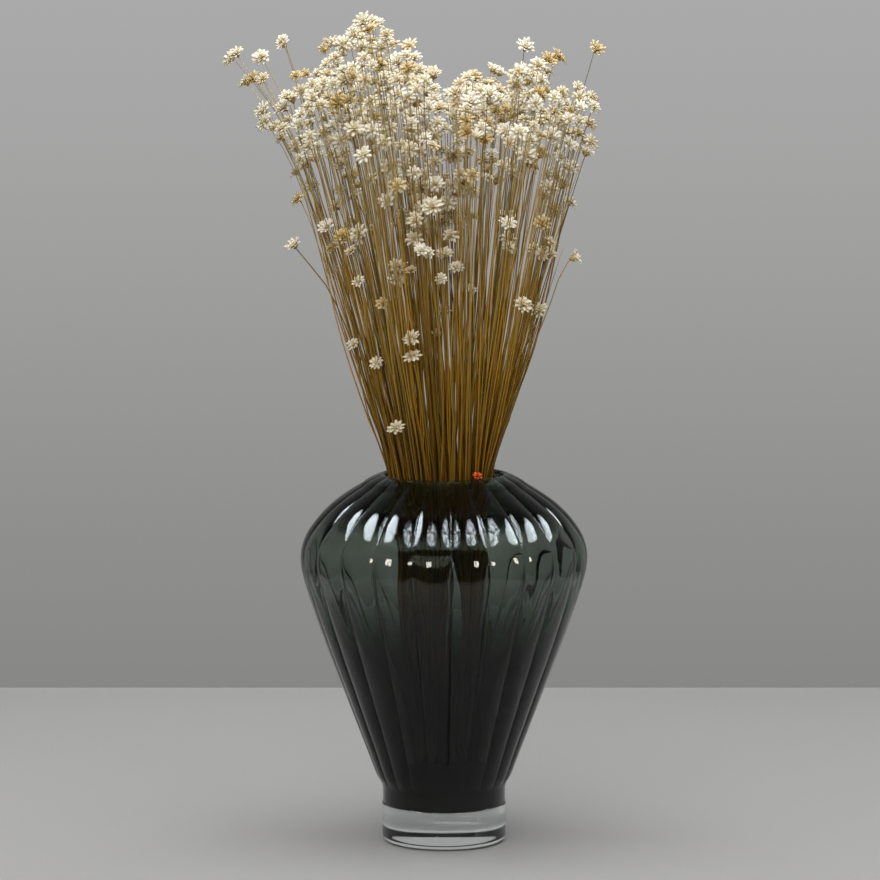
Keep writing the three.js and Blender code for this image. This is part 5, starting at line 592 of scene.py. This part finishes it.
  [[121,-144],[122,-163],[[-10,-4,88,-218,123,-317,3248,51,-246,4327,69,-28,66,54],[-2,11,116,-202,102,-229,3207,85,-261,4245,-2,-76,65,53],[7,8,154,-178,204,-282,3186,230,-381,4203,20,-39,90,51],[-10,5,101,-208,100,-218,3085,96,-240,4000,38,-36,85,47],[7,-9,139,-235,148,-247,2743,159,-260,3316,-8,-53,84,34],[0,0,136,-204,132,-292,3245,128,-392,4320,-16,-53,83,46],[-3,-11,113,-233,136,-349,3351,90,-428,4531,-11,-34,93,34],[11,0,160,-208,185,-360,3222,214,-531,4273,29,-29,91,45]]],
  [[118,90],[119,110],[[-2,-11,119,114,192,190,3284,274,276,4397,62,44,65,40],[7,-8,145,124,265,247,3239,400,387,4309,41,48,78,45],[-3,11,118,182,127,373,3283,137,588,4396,42,1,91,50],[11,0,148,153,236,315,3206,336,499,4242,-3,-24,97,48],[0,0,116,151,124,279,3123,133,424,4076,-28,69,67,44],[7,9,141,179,218,416,3101,306,684,4032,-30,30,91,36],[-10,5,94,172,99,252,3030,105,344,3890,10,37,92,42],[-10,-5,95,134,117,311,3328,142,510,4487,12,26,96,41]]],
  [[175,99],[187,121],[[6,-9,238,134,397,220,3141,576,317,4111,30,20,93,46],[-3,-11,195,135,326,270,3281,474,422,4391,-38,49,79,52],[-10,6,171,186,273,437,3083,389,721,3997,5,46,88,52],[-2,11,205,182,330,400,3213,470,646,4256,49,68,55,44],[11,-1,254,185,485,373,3240,747,586,4310,27,27,93,45],[8,8,231,176,394,365,3222,578,578,4274,26,29,92,48],[0,0,210,156,418,284,3299,652,429,4429,28,23,93,43],[-10,-4,180,162,324,352,3211,488,565,4253,49,48,73,50]]],
  [[234,-72],[250,-81],[[9,7,304,-80,528,-184,3238,781,-302,4305,-43,-40,81,44],[11,-3,306,-103,521,-168,3177,861,-196,4184,49,-61,62,42],[0,0,287,-92,498,-203,3175,721,-370,4180,58,-22,78,49],[-8,7,270,-77,462,-202,3136,677,-343,4103,21,-60,77,40],[5,-10,293,-137,489,-233,2889,619,-327,3608,79,24,56,43],[0,11,311,-63,612,-51,3280,878,-153,4389,37,-28,89,44],[-5,-10,288,-118,543,-237,3311,782,-422,4453,46,-74,49,44],[-11,-2,268,-107,420,-189,2850,567,-297,3530,39,-49,78,40]]],
  [[158,3],[174,1],[[-11,1,160,4,254,29,3282,360,57,4394,-2,-53,85,41],[4,10,195,27,313,148,3132,435,296,4093,2,19,98,35],[-6,10,179,19,287,49,3080,409,83,3990,24,16,96,50],[-8,-8,181,-4,269,39,2953,368,88,3735,-30,-15,94,53],[1,-11,200,-11,312,42,3215,439,101,4260,15,6,99,53],[11,3,225,-2,366,35,3369,526,77,4568,5,-53,85,42],[0,0,204,9,322,59,3260,456,115,4349,-31,32,89,48],[9,-6,228,-23,383,-73,3316,557,-130,4463,46,-35,81,49]]],
  [[122,-187],[124,-215],[[-11,2,96,-282,81,-311,3323,64,-344,4475,19,-49,85,45],[1,-11,124,-296,139,-477,3299,155,-681,4428,11,-49,87,54],[-6,10,96,-254,95,-310,3289,72,-375,4407,3,-49,87,43],[-8,-8,99,-306,115,-419,3210,133,-546,4251,-22,-59,77,49],[11,3,179,-266,182,-429,3200,185,-613,4230,17,11,98,39],[9,-6,150,-286,156,-408,3087,162,-545,4003,-16,-83,53,42],[0,0,124,-265,126,-397,3274,127,-544,4377,30,-65,70,42],[4,10,153,-261,155,-392,3150,157,-541,4129,22,-86,47,0]]],
  [[219,81],[240,96],[[7,-9,303,101,563,159,3154,785,202,4139,-22,-13,97,38],[-10,-5,263,123,456,196,3147,674,278,4124,72,38,58,46],[7,9,281,150,465,212,3069,671,283,3968,79,-19,58,50],[-2,11,273,170,426,247,3002,599,333,3835,27,58,77,35],[-3,-11,278,104,433,162,3071,608,227,3972,71,-36,61,45],[11,0,298,118,561,156,3303,856,200,4436,33,19,93,45],[-10,5,251,154,457,295,3256,689,455,4342,37,45,81,44],[0,0,293,134,479,125,2855,706,114,3540,-7,25,97,0]]],
  [[206,-38],[225,-44],[[5,-10,274,-59,511,-199,3335,778,-357,4500,62,-23,75,44],[-5,10,247,-34,400,-108,3268,573,-192,4365,13,-12,98,42],[-6,-9,253,-65,446,-118,3240,681,-369,4309,44,-67,60,44],[0,0,265,-47,429,-124,3040,615,-211,3911,32,-25,91,50],[-11,1,239,-56,375,-138,2865,534,-225,3560,-20,-32,92,43],[11,-1,290,-66,487,-116,2837,758,-185,3505,79,43,43,51,635,-154,3264],[6,9,292,-50,355,-122,2681,559,-133,3191,-46,-48,75,46]]],
  [[188,51],[199,64],[[11,0,248,95,450,170,3420,678,254,4670,69,9,72,57],[0,0,219,78,368,156,3328,536,244,4487,23,-11,97,34],[-6,10,216,132,357,284,3320,614,383,4470,49,63,60,36],[-11,0,206,100,334,151,3134,478,210,4098,23,20,95,49],[6,-10,241,70,383,199,3372,568,157,4574,56,35,75,44],[-5,-10,213,52,361,117,3289,528,191,4407,2,54,84,44],[5,10,230,108,408,185,3379,608,272,4587,8,25,96,47]]],
  [[126,-62],[132,-73],[[11,0,174,-93,278,-216,3311,395,-355,4452,-16,-66,73,39],[5,-10,154,-116,257,-83,3105,340,-234,4040,5,-10,99,43],[6,9,151,-64,199,-90,3073,253,-119,3976,25,13,96,37],[-11,0,96,-91,124,-111,3034,156,-133,3898,-32,-47,82,51],[0,0,141,-89,226,-177,3304,321,-277,4437,10,-59,80,39],[-5,10,127,-77,150,-102,3366,176,-130,4562,29,-26,92,46],[-6,-9,122,-100,164,-167,3286,210,-243,4402,10,-31,94,41]]],
  [[110,-102],[116,-115],[[3,-11,127,-172,130,-235,3368,134,-306,4566,10,-42,90,37],[-3,11,106,-119,172,-222,3324,223,-296,4478,39,-26,88,50],[11,-2,150,-150,213,-250,3236,252,-341,4303,46,-23,86,46],[-11,2,134,-164,136,-184,3058,113,-182,3946,15,-19,97,46],[-8,-8,100,-151,65,-43,3319,39,-113,4468,-48,-20,85,48],[8,8,134,-131,204,-199,3143,274,-282,4117,-13,10,99,38],[0,0,118,-145,169,-220,3268,226,-306,4367,21,-64,74,41]]],
  [[230,39],[246,49],[[2,-11,295,54,542,36,3141,838,15,4111,-6,3,100,46],[8,7,314,83,531,64,2994,744,38,3818,30,-32,90,41],[0,0,275,65,444,143,2971,646,66,3772,37,-77,53,48],[11,-3,307,62,530,87,3096,755,57,4023,27,-28,92,46],[-11,3,284,84,483,94,3273,709,123,4376,-34,51,79,40],[-2,11,291,90,474,96,3042,706,126,3914,27,65,71,52],[-8,-7,275,47,484,37,3196,720,27,4223,29,-37,88,47]]],
  [[154,-101],[168,-113],[[-6,9,176,-121,306,-250,3387,452,-395,4603,43,-44,79,49],[11,1,213,-156,334,-349,3272,509,-426,4375,-27,5,96,40],[-11,-1,173,-144,253,-266,3210,355,-387,4250,-7,-65,75,49],[0,0,196,-121,267,-168,2893,376,-194,3617,24,-38,89,47],[6,-9,199,-163,289,-260,2876,380,-402,3582,29,-31,90,37],[5,10,193,-109,318,-229,3296,458,-365,4422,84,-17,51,38],[-5,-10,176,-169,251,-240,3049,336,-320,3927,18,-49,85,0]]],
]
RED_BUD = [(26.47, -9.5, 50.3), (21.39, -29.63, 120), (18.61, -28.42, 217), (19.4, -30.2, 221.8)]

# height of a stem's point over the table, and the stem's radius there
STEM_Z = [50, 120, 217, 300, 400, 500]
STEM_R = [0.44, 0.48, 0.52, 0.38, 0.25, 0.21]


def stem_line(keys, count):
    """A smooth line through the keys."""
    return through(keys, count)


def tube(line, radius, sides, rng_phase=0.0):
    """Closed tube along a line, its rings turned as little as they can be."""
    n = len(line)
    tan = np.gradient(line, axis=0)
    tan /= np.linalg.norm(tan, axis=1, keepdims=True)
    u = np.array([1.0, 0.0, 0.0])
    us = np.empty_like(line)
    for i in range(n):
        u = u - tan[i] * (u @ tan[i])
        u /= np.linalg.norm(u)
        us[i] = u
    vs = np.cross(tan, us)
    ang = rng_phase + np.arange(sides) * 2 * math.pi / sides
    ring = us[:, None, :] * np.cos(ang)[None, :, None] + vs[:, None, :] * np.sin(ang)[None, :, None]
    verts = (line[:, None, :] + ring * np.asarray(radius)[:, None, None]).reshape(-1, 3)
    a = np.arange(sides)
    b = (a + 1) % sides
    i = np.arange(n - 1)[:, None]
    quads = np.stack([i * sides + a, i * sides + b, (i + 1) * sides + b, (i + 1) * sides + a], -1).reshape(-1, 4)
    verts = np.vstack([verts, line[:1] - tan[:1] * radius[0] * 0.05, line[-1:] + tan[-1:] * radius[-1] * 0.3])
    k = len(verts)
    tris = np.vstack([np.stack([np.full(sides, k - 2), b, a], -1), np.stack([np.full(sides, k - 1), (n - 1) * sides + a, (n - 1) * sides + b], -1)])
    return verts, quads, tris


def basis_for(n, spin):
    n = n / np.linalg.norm(n)
    a = np.cross([0.0, 0.0, 1.0], n)
    if np.linalg.norm(a) < 1e-4:
        a = np.array([1.0, 0.0, 0.0])
    a /= np.linalg.norm(a)
    b = np.cross(n, a)
    c, s = math.cos(spin), math.sin(spin)
    return np.stack([a * c + b * s, -a * s + b * c, n])


def build_tufts():
    rng = np.random.default_rng(1907)
    templates = [head_template(rng, o, f) for o, f in [(1.0, 1.0), (0.97, 0.9), (0.93, 1.05), (0.88, 0.95), (0.8, 1.0), (0.72, 0.9), (0.62, 1.0), (0.5, 0.95), (0.36, 0.85), (1.02, 0.8)]]
    chance = np.array([0.13, 0.13, 0.13, 0.12, 0.12, 0.11, 0.09, 0.07, 0.03, 0.07])
    made = []
    for index, (foot, tie, stems) in enumerate(TUFTS):
        g = Gather()
        foot, tie = np.array(foot) / 10.0, np.array(tie) / 10.0
        for stem in stems:
            off = np.array(stem[0:2]) / 10.0
            mouth = np.array(stem[2:4]) / 10.0
            mid = np.array(stem[4:7]) / 10.0
            centre = np.array(stem[7:10]) / 10.0
            face = np.array(stem[10:13]) / 100.0
            radius = stem[13] / 10.0 * 1.27
            face = face / (np.linalg.norm(face) or 1.0)
            # the flowers turn outwards, away from the middle of the bunch
            out_way = np.array([centre[0] * 0.6, centre[1] - 60.0 if centre[1] < 30 else centre[1] * 0.8, 16.0])
            face = face * rng.uniform(0.7, 1.2) + 0.72 * out_way / np.linalg.norm(out_way)
            face /= np.linalg.norm(face)
            # dried stems are never quite straight: each strays a little from its even place
            stray = rng.normal(0, 0.55, 2)
            if -4.5 < mouth[0] < 5.2 and rng.random() < 0.55:
                stray[0] += rng.uniform(0.5, 3.6) * (mouth[0] + 4.5) / 9.7
            elif 8.2 < mouth[0] < 14.0 and rng.random() < 0.55:
                stray[0] -= rng.uniform(0.5, 3.0) * (14.0 - mouth[0]) / 5.8
            mouth = mouth + stray
            if mouth[0] > 20.0:
                mouth[0] = 20.0 + (mouth[0] - 20.0) * 0.70
            far = math.hypot(*mouth)
            if far > 33.9:
                mouth = mouth * 33.9 / far
            mid[:2] += stray * 0.9 + rng.normal(0, 2.0, 2)
            on = mouth * 0.52 + mid[:2] * 0.48 + rng.normal(0, 1.25, 2)
            keys = [(*(foot + off * 1.15), 50.4), (*(foot * 0.5 + tie * 0.5 + off * 1.15), 85.0), (*(tie + off * 1.1), 120.0), (*mouth, 217.0), (*on, 217.0 + 0.48 * (mid[2] - 217.0)), tuple(mid)]
            if len(stem) > 14:
                keys.append(tuple(np.array(stem[14:17]) / 10.0))
            last = np.array(keys[-1])
            shade, dull = float(np.clip(rng.normal(0.5, 0.24), 0, 1)), float(np.clip(rng.normal(0.42, 0.3), 0, 1))
            if radius > 0:
                neck = centre - face * radius * 0.40
                way = neck - last
                d = np.linalg.norm(way)
                way = way / d
                keys.append(tuple(neck - way * 5.0 - face * 2.2 if d > 20 else neck - way * d * 0.3 - face * 1.0))
                keys.append(tuple(neck))
            else:
                keys.append(tuple(centre))
            line = stem_line(keys, 24)
            # the points are spaced evenly; the last keys turn the stem to face the flower
            z = line[:, 2]
            rad = np.interp(z, STEM_Z, STEM_R) * rng.uniform(0.88, 1.12)
            if radius == 0:
                rad = rad * np.interp(np.arange(len(z)), [0, len(z) - 6, len(z) - 1], [1, 1, 0.45])
            v, q, t = tube(line, rad, 5, rng.uniform(0, 1))
            al = np.concatenate([np.repeat(z, 5), [z[0], z[-1]]]) / 500.0
            g.add(v, q, t, 3, al, shade, dull)
            if radius > 0:
                pick = rng.choice(len(templates), p=chance)
                hv, hq, ht, hqm, htm, htone = templates[pick]
                m = basis_for(face, rng.uniform(0, 2 * math.pi))
                scale = np.array([radius, radius, radius]) * np.array([rng.uniform(0.92, 1.08), rng.uniform(0.92, 1.08), rng.uniform(0.9, 1.15)])
                v = (hv * scale) @ m + centre
                low = np.clip((430 - centre[2]) / 200, 0, 1)  # painted shade: the low flowers are given an older, yellower, darker colour for the shade of the heads above them
                age = float(np.clip(rng.normal(0.13 + 0.26 * low, 0.16), 0, 1))
                if rng.random() < 0.09:
                    age = float(rng.uniform(0.6, 1.0))
                tone = htone.copy()
                tone[:, 2] = np.clip(age + 0.0 * tone[:, 2], 0, 1)
                tone[:, 1] = np.clip(tone[:, 1] + rng.normal(0, 0.10), 0, 1)
                g.q.append(hq + g.n)
                g.qm.append(hqm)
                g.t.append(ht + g.n)
                g.tm.append(htm)
                g.v.append(v)
                g.tone.append(tone)
                g.n += len(v)
        v, q, t, qm, tm, tone = g.done()
        obj = make_piece("dried_glixia_%02d" % (index + 1), v * MM, [q, t], [BRACT, FLORET, CALYX, STEM], [qm, tm], tone)
        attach(obj, "root")
        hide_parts("glixia_tuft_%02d" % (index + 1))
        made.append(obj)
    return made


def red_bud():
    rng = np.random.default_rng(77)
    g = Gather()
    line = stem_line(RED_BUD, 26)
    v, q, t = tube(line, np.full(26, 0.5), 6)
    g.add(v, q, t, 1, np.concatenate([np.repeat(line[:, 2], 6), [50, 221]]) / 500.0, 0.4, 0.3)
    centre, face = np.array([19.6, -30.6, 223.2]), np.array([0.1, -0.55, 0.83])
    m = basis_for(face, 0.3)
    for w, (count, length, e0, e1) in enumerate([(7, 3.3, 25, 10), (6, 2.9, 48, 40), (4, 2.2, 70, 75)]):
        for k in range(count):
            a = (k + rng.uniform(-0.2, 0.2) + 0.5 * w) * 2 * math.pi / count
            v, q, t, al = sweep_bract(rng, length * rng.uniform(0.85, 1.1), 1.5, 0.35, -0.9 + 0.2 * w, math.radians(e0), math.radians(e1), 0.16, 0.25, 3)
            g.add((turned(v, a) @ m) + centre, q, t, 0, al, rng.random(), 0.0)
    v, q, t, qm, tm, tone = g.done()
    obj = make_piece("red_bud", v * MM, [q, t], [BUD, STEM], [qm, tm], tone)
    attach(obj, "root")
    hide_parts("red_bud_stem")
    return obj


vase_body()
vase_foot()
build_tufts()
red_bud()


# ---------------------------------------------------------------- the table it stands on
# painted shade: the table's colour is darker towards the back, standing in for the light falling off there
TABLE_FRONT, TABLE_MID, TABLE_BACK = (0.285, 0.278, 0.270), (0.272, 0.265, 0.257), (0.252, 0.245, 0.237)


def table():
    half, thick, edge, top = 0.539, 0.030, 0.0016, -0.00015
    steps = 5
    ring = []
    for k in range(steps + 1):
        a = math.pi / 2 * k / steps
        ring.append((half - edge + edge * math.sin(a), top - edge + edge * math.cos(a)))
    ring.append((half, top - thick))
    verts, quads = [], []
    for h, z in ring:
        verts += [(-h, -h, z), (h, -h, z), (h, h, z), (-h, h, z)]
    for i in range(len(ring) - 1):
        for j in range(4):
            quads.append((4 * i + (j + 1) % 4, 4 * i + j, 4 * (i + 1) + j, 4 * (i + 1) + (j + 1) % 4))
    quads.append((0, 1, 2, 3))
    n = 4 * (len(ring) - 1)
    quads.append((n + 3, n + 2, n + 1, n))
    mat, nt, out = new_material("table")
    p = nt.nodes.new("ShaderNodeBsdfPrincipled")
    cloud = noise(nt, 3.0, 3.0)
    sheet = ramp(nt, cloud, [(0.3, (0.975, 0.975, 0.975)), (0.7, (1.0, 1.0, 1.0))])
    co = nt.nodes.new("ShaderNodeTexCoord")
    sep = nt.nodes.new("ShaderNodeSeparateXYZ")
    nt.links.new(co.outputs["Generated"], sep.inputs[0])
    # painted shade: front to back the colour darkens, for the falloff of light
    depth = ramp(nt, sep.outputs[1], [(0.0, TABLE_FRONT), (0.5, TABLE_MID), (1.0, TABLE_BACK)])
    c = mix_colour(nt, 1.0, sheet, depth, "MULTIPLY")
    nt.links.new(c, p.inputs["Base Color"])
    p.inputs["Roughness"].default_value = 0.42
    p.inputs["Specular IOR Level"].default_value = 0.35
    nt.links.new(p.outputs[0], out.inputs["Surface"])
    obj = make_piece("table_top", np.array(verts), [np.array(quads)], [mat], smooth=False)
    return obj


table()


# ---------------------------------------------------------------- light
# painted highlights: four round bright patches overhead in the world, which only glossy rays see, as seen from the
# shoulder: middle and half sizes at 1.26 m over it, and how much of each is broken by painted dark gaps that stand in
# for the flowers over the mouth
BANKS = [(-0.90, 0.18, 0.29, 0.46, 0.0), (-0.20, -0.42, 0.20, 0.36, 0.9), (0.47, -0.30, 0.25, 0.40, 0.85), (1.25, 0.40, 0.32, 0.54, 0.4)]
BANK_COLOUR = (18.6, 20.6, 21.9)
# painted highlights too: four square patches at the front, seen only by glossy rays: bearing, elevation, half sizes,
# colour
LAMPS = [(-48, 19, 0.065, 0.11, (27.0, 25.6, 21.8)), (-14, 20, 0.060, 0.105, (27.0, 25.6, 21.8)), (30, 18.5, 0.062, 0.11, (27.0, 25.6, 21.8)), (66, 18, 0.05, 0.10, (27.0, 25.6, 21.8))]


def world():
    w = bpy.data.worlds.new("studio")
    scene.world = w
    w.use_nodes = True
    nt = w.node_tree
    nt.nodes.clear()
    out = nt.nodes.new("ShaderNodeOutputWorld")
    geo = nt.nodes.new("ShaderNodeNewGeometry")  # its Position is the ray's direction in a world shader
    sep = nt.nodes.new("ShaderNodeSeparateXYZ")
    tex = nt.nodes.new("ShaderNodeTexCoord")
    nt.links.new(tex.outputs["Generated"], sep.inputs[0])
    nt.nodes.remove(geo)
    # the wall behind: pale above, darker towards the table
    up = maths(nt, "MULTIPLY_ADD", sep.outputs["Z"], 2.5, 0.5)  # -0.2..0.2 to 0..1
    wall = ramp(nt, up, [(0.0, (0.225, 0.225, 0.222)), (0.075, (0.242, 0.242, 0.238)), (0.18, (0.278, 0.278, 0.274)), (0.30, (0.335, 0.335, 0.330)), (0.40, (0.378, 0.378, 0.376)), (0.48, (0.401, 0.401, 0.401)), (0.62, (0.41, 0.41, 0.41))])
    # what the glass mirrors: the wall at the back, a dark room at the front
    back = ramp(nt, maths(nt, "MULTIPLY_ADD", sep.outputs["Y"], 0.5, 0.5), [(0.0, (0.010, 0.010, 0.011)), (0.45, (0.016, 0.016, 0.017)), (0.62, (0.10, 0.10, 0.10)), (0.80, (0.20, 0.20, 0.197))])
    # and painted highlights of the studio's lights, seen only by glossy rays: the banks overhead and four square
    # patches at the front
    x, y, z = sep.outputs["X"], sep.outputs["Y"], sep.outputs["Z"]
    zz = maths(nt, "MAXIMUM", z, 0.06)
    xo, yo = maths(nt, "DIVIDE", x, zz), maths(nt, "DIVIDE", y, zz)
    tn = nt.nodes.new("ShaderNodeTexNoise")
    tn.inputs["Scale"].default_value = 11.0
    tn.inputs["Detail"].default_value = 3.0
    nt.links.new(tex.outputs["Generated"], tn.inputs["Vector"])
    # painted shade: noise gaps that darken the banks where the flowers over the mouth would show in the reflection
    painted_flower_gaps = ramp(nt, tn.outputs["Fac"], [(0.40, (1.0, 1.0, 1.0)), (0.60, (0.0, 0.0, 0.0))])
    for cx, cy, ax, ay, painted_gap_share in BANKS:
        px = maths(nt, "MULTIPLY_ADD", xo, 1.26 / ax, -cx / ax)
        py = maths(nt, "MULTIPLY_ADD", yo, 1.26 / ay, -cy / ay)
        d2 = maths(nt, "ADD", maths(nt, "MULTIPLY", px, px), maths(nt, "MULTIPLY", py, py))
        bank = maths(nt, "MULTIPLY_ADD", d2, -1.7, 2.1)
        bank = maths(nt, "MINIMUM", maths(nt, "MAXIMUM", bank, 0.0), 1.0)
        bank = maths(nt, "MULTIPLY", bank, maths(nt, "GREATER_THAN", z, 0.1))
        if painted_gap_share:
            bank = maths(nt, "MULTIPLY", bank, maths(nt, "MULTIPLY_ADD", painted_flower_gaps, -painted_gap_share, 1.0))
        back = mix_colour(nt, bank, back, BANK_COLOUR)
    for az, el, wide, tall, colour in LAMPS:
        a, e = math.radians(az), math.radians(el)
        c = (math.cos(e) * math.sin(a), -math.cos(e) * math.cos(a), math.sin(e))
        u = (math.cos(a), math.sin(a), 0.0)
        v = (c[1] * u[2] - c[2] * u[1], c[2] * u[0] - c[0] * u[2], c[0] * u[1] - c[1] * u[0])

        def along(w):
            return maths(nt, "ADD", maths(nt, "MULTIPLY", x, w[0]), maths(nt, "MULTIPLY_ADD", y, w[1], maths(nt, "MULTIPLY", z, w[2])))

        on = maths(nt, "GREATER_THAN", along(c), 0.5)
        on = maths(nt, "MULTIPLY", on, maths(nt, "LESS_THAN", maths(nt, "ABSOLUTE", along(u)), wide))
        on = maths(nt, "MULTIPLY", on, maths(nt, "LESS_THAN", maths(nt, "ABSOLUTE", along(v)), tall))
        back = mix_colour(nt, on, back, colour)
    path = nt.nodes.new("ShaderNodeLightPath")
    seen = maths(nt, "MAXIMUM", path.outputs["Is Camera Ray"], path.outputs["Is Transmission Ray"])
    glossy = path.outputs["Is Glossy Ray"]
    ambient = (0.42, 0.425, 0.43)
    c = mix_colour(nt, glossy, ambient, back)
    c = mix_colour(nt, seen, c, wall)
    bg = nt.nodes.new("ShaderNodeBackground")
    nt.links.new(c, bg.inputs["Color"])
    nt.links.new(bg.outputs[0], out.inputs["Surface"])


def area(name, where, target, size, colour, radiance, glossy=True, camera_sees=False):
    data = bpy.data.lights.new(name, "AREA")
    data.shape = "RECTANGLE"
    data.size, data.size_y = size
    data.color = colour
    data.energy = radiance * math.pi * size[0] * size[1]
    obj = bpy.data.objects.new(name, data)
    scene.collection.objects.link(obj)
    obj.location = where
    d = np.array(target, float) - np.array(where, float)
    import mathutils

    obj.rotation_euler = mathutils.Vector(d).to_track_quat("-Z", "Y").to_euler()
    obj.visible_camera = camera_sees
    obj.visible_glossy = glossy
    return obj


def toward(az, el, dist):
    """A place seen from the vase's shoulder at that bearing from the front towards +X and that elevation, in degrees."""
    a, e = math.radians(az), math.radians(el)
    return (dist * math.cos(e) * math.sin(a), -dist * math.cos(e) * math.cos(a), 0.19 + dist * math.sin(e))


world()
area("softbox", (0.0, -0.15, 1.45), (0.0, -0.05, 0.0), (1.7, 1.4), (0.96, 0.98, 1.0), 4.7, glossy=False)
area("front_fill", (-0.5, -2.4, 1.6), (0.0, 0.0, 0.3), (1.6, 1.2), (1.0, 0.98, 0.95), 4.8, glossy=False)
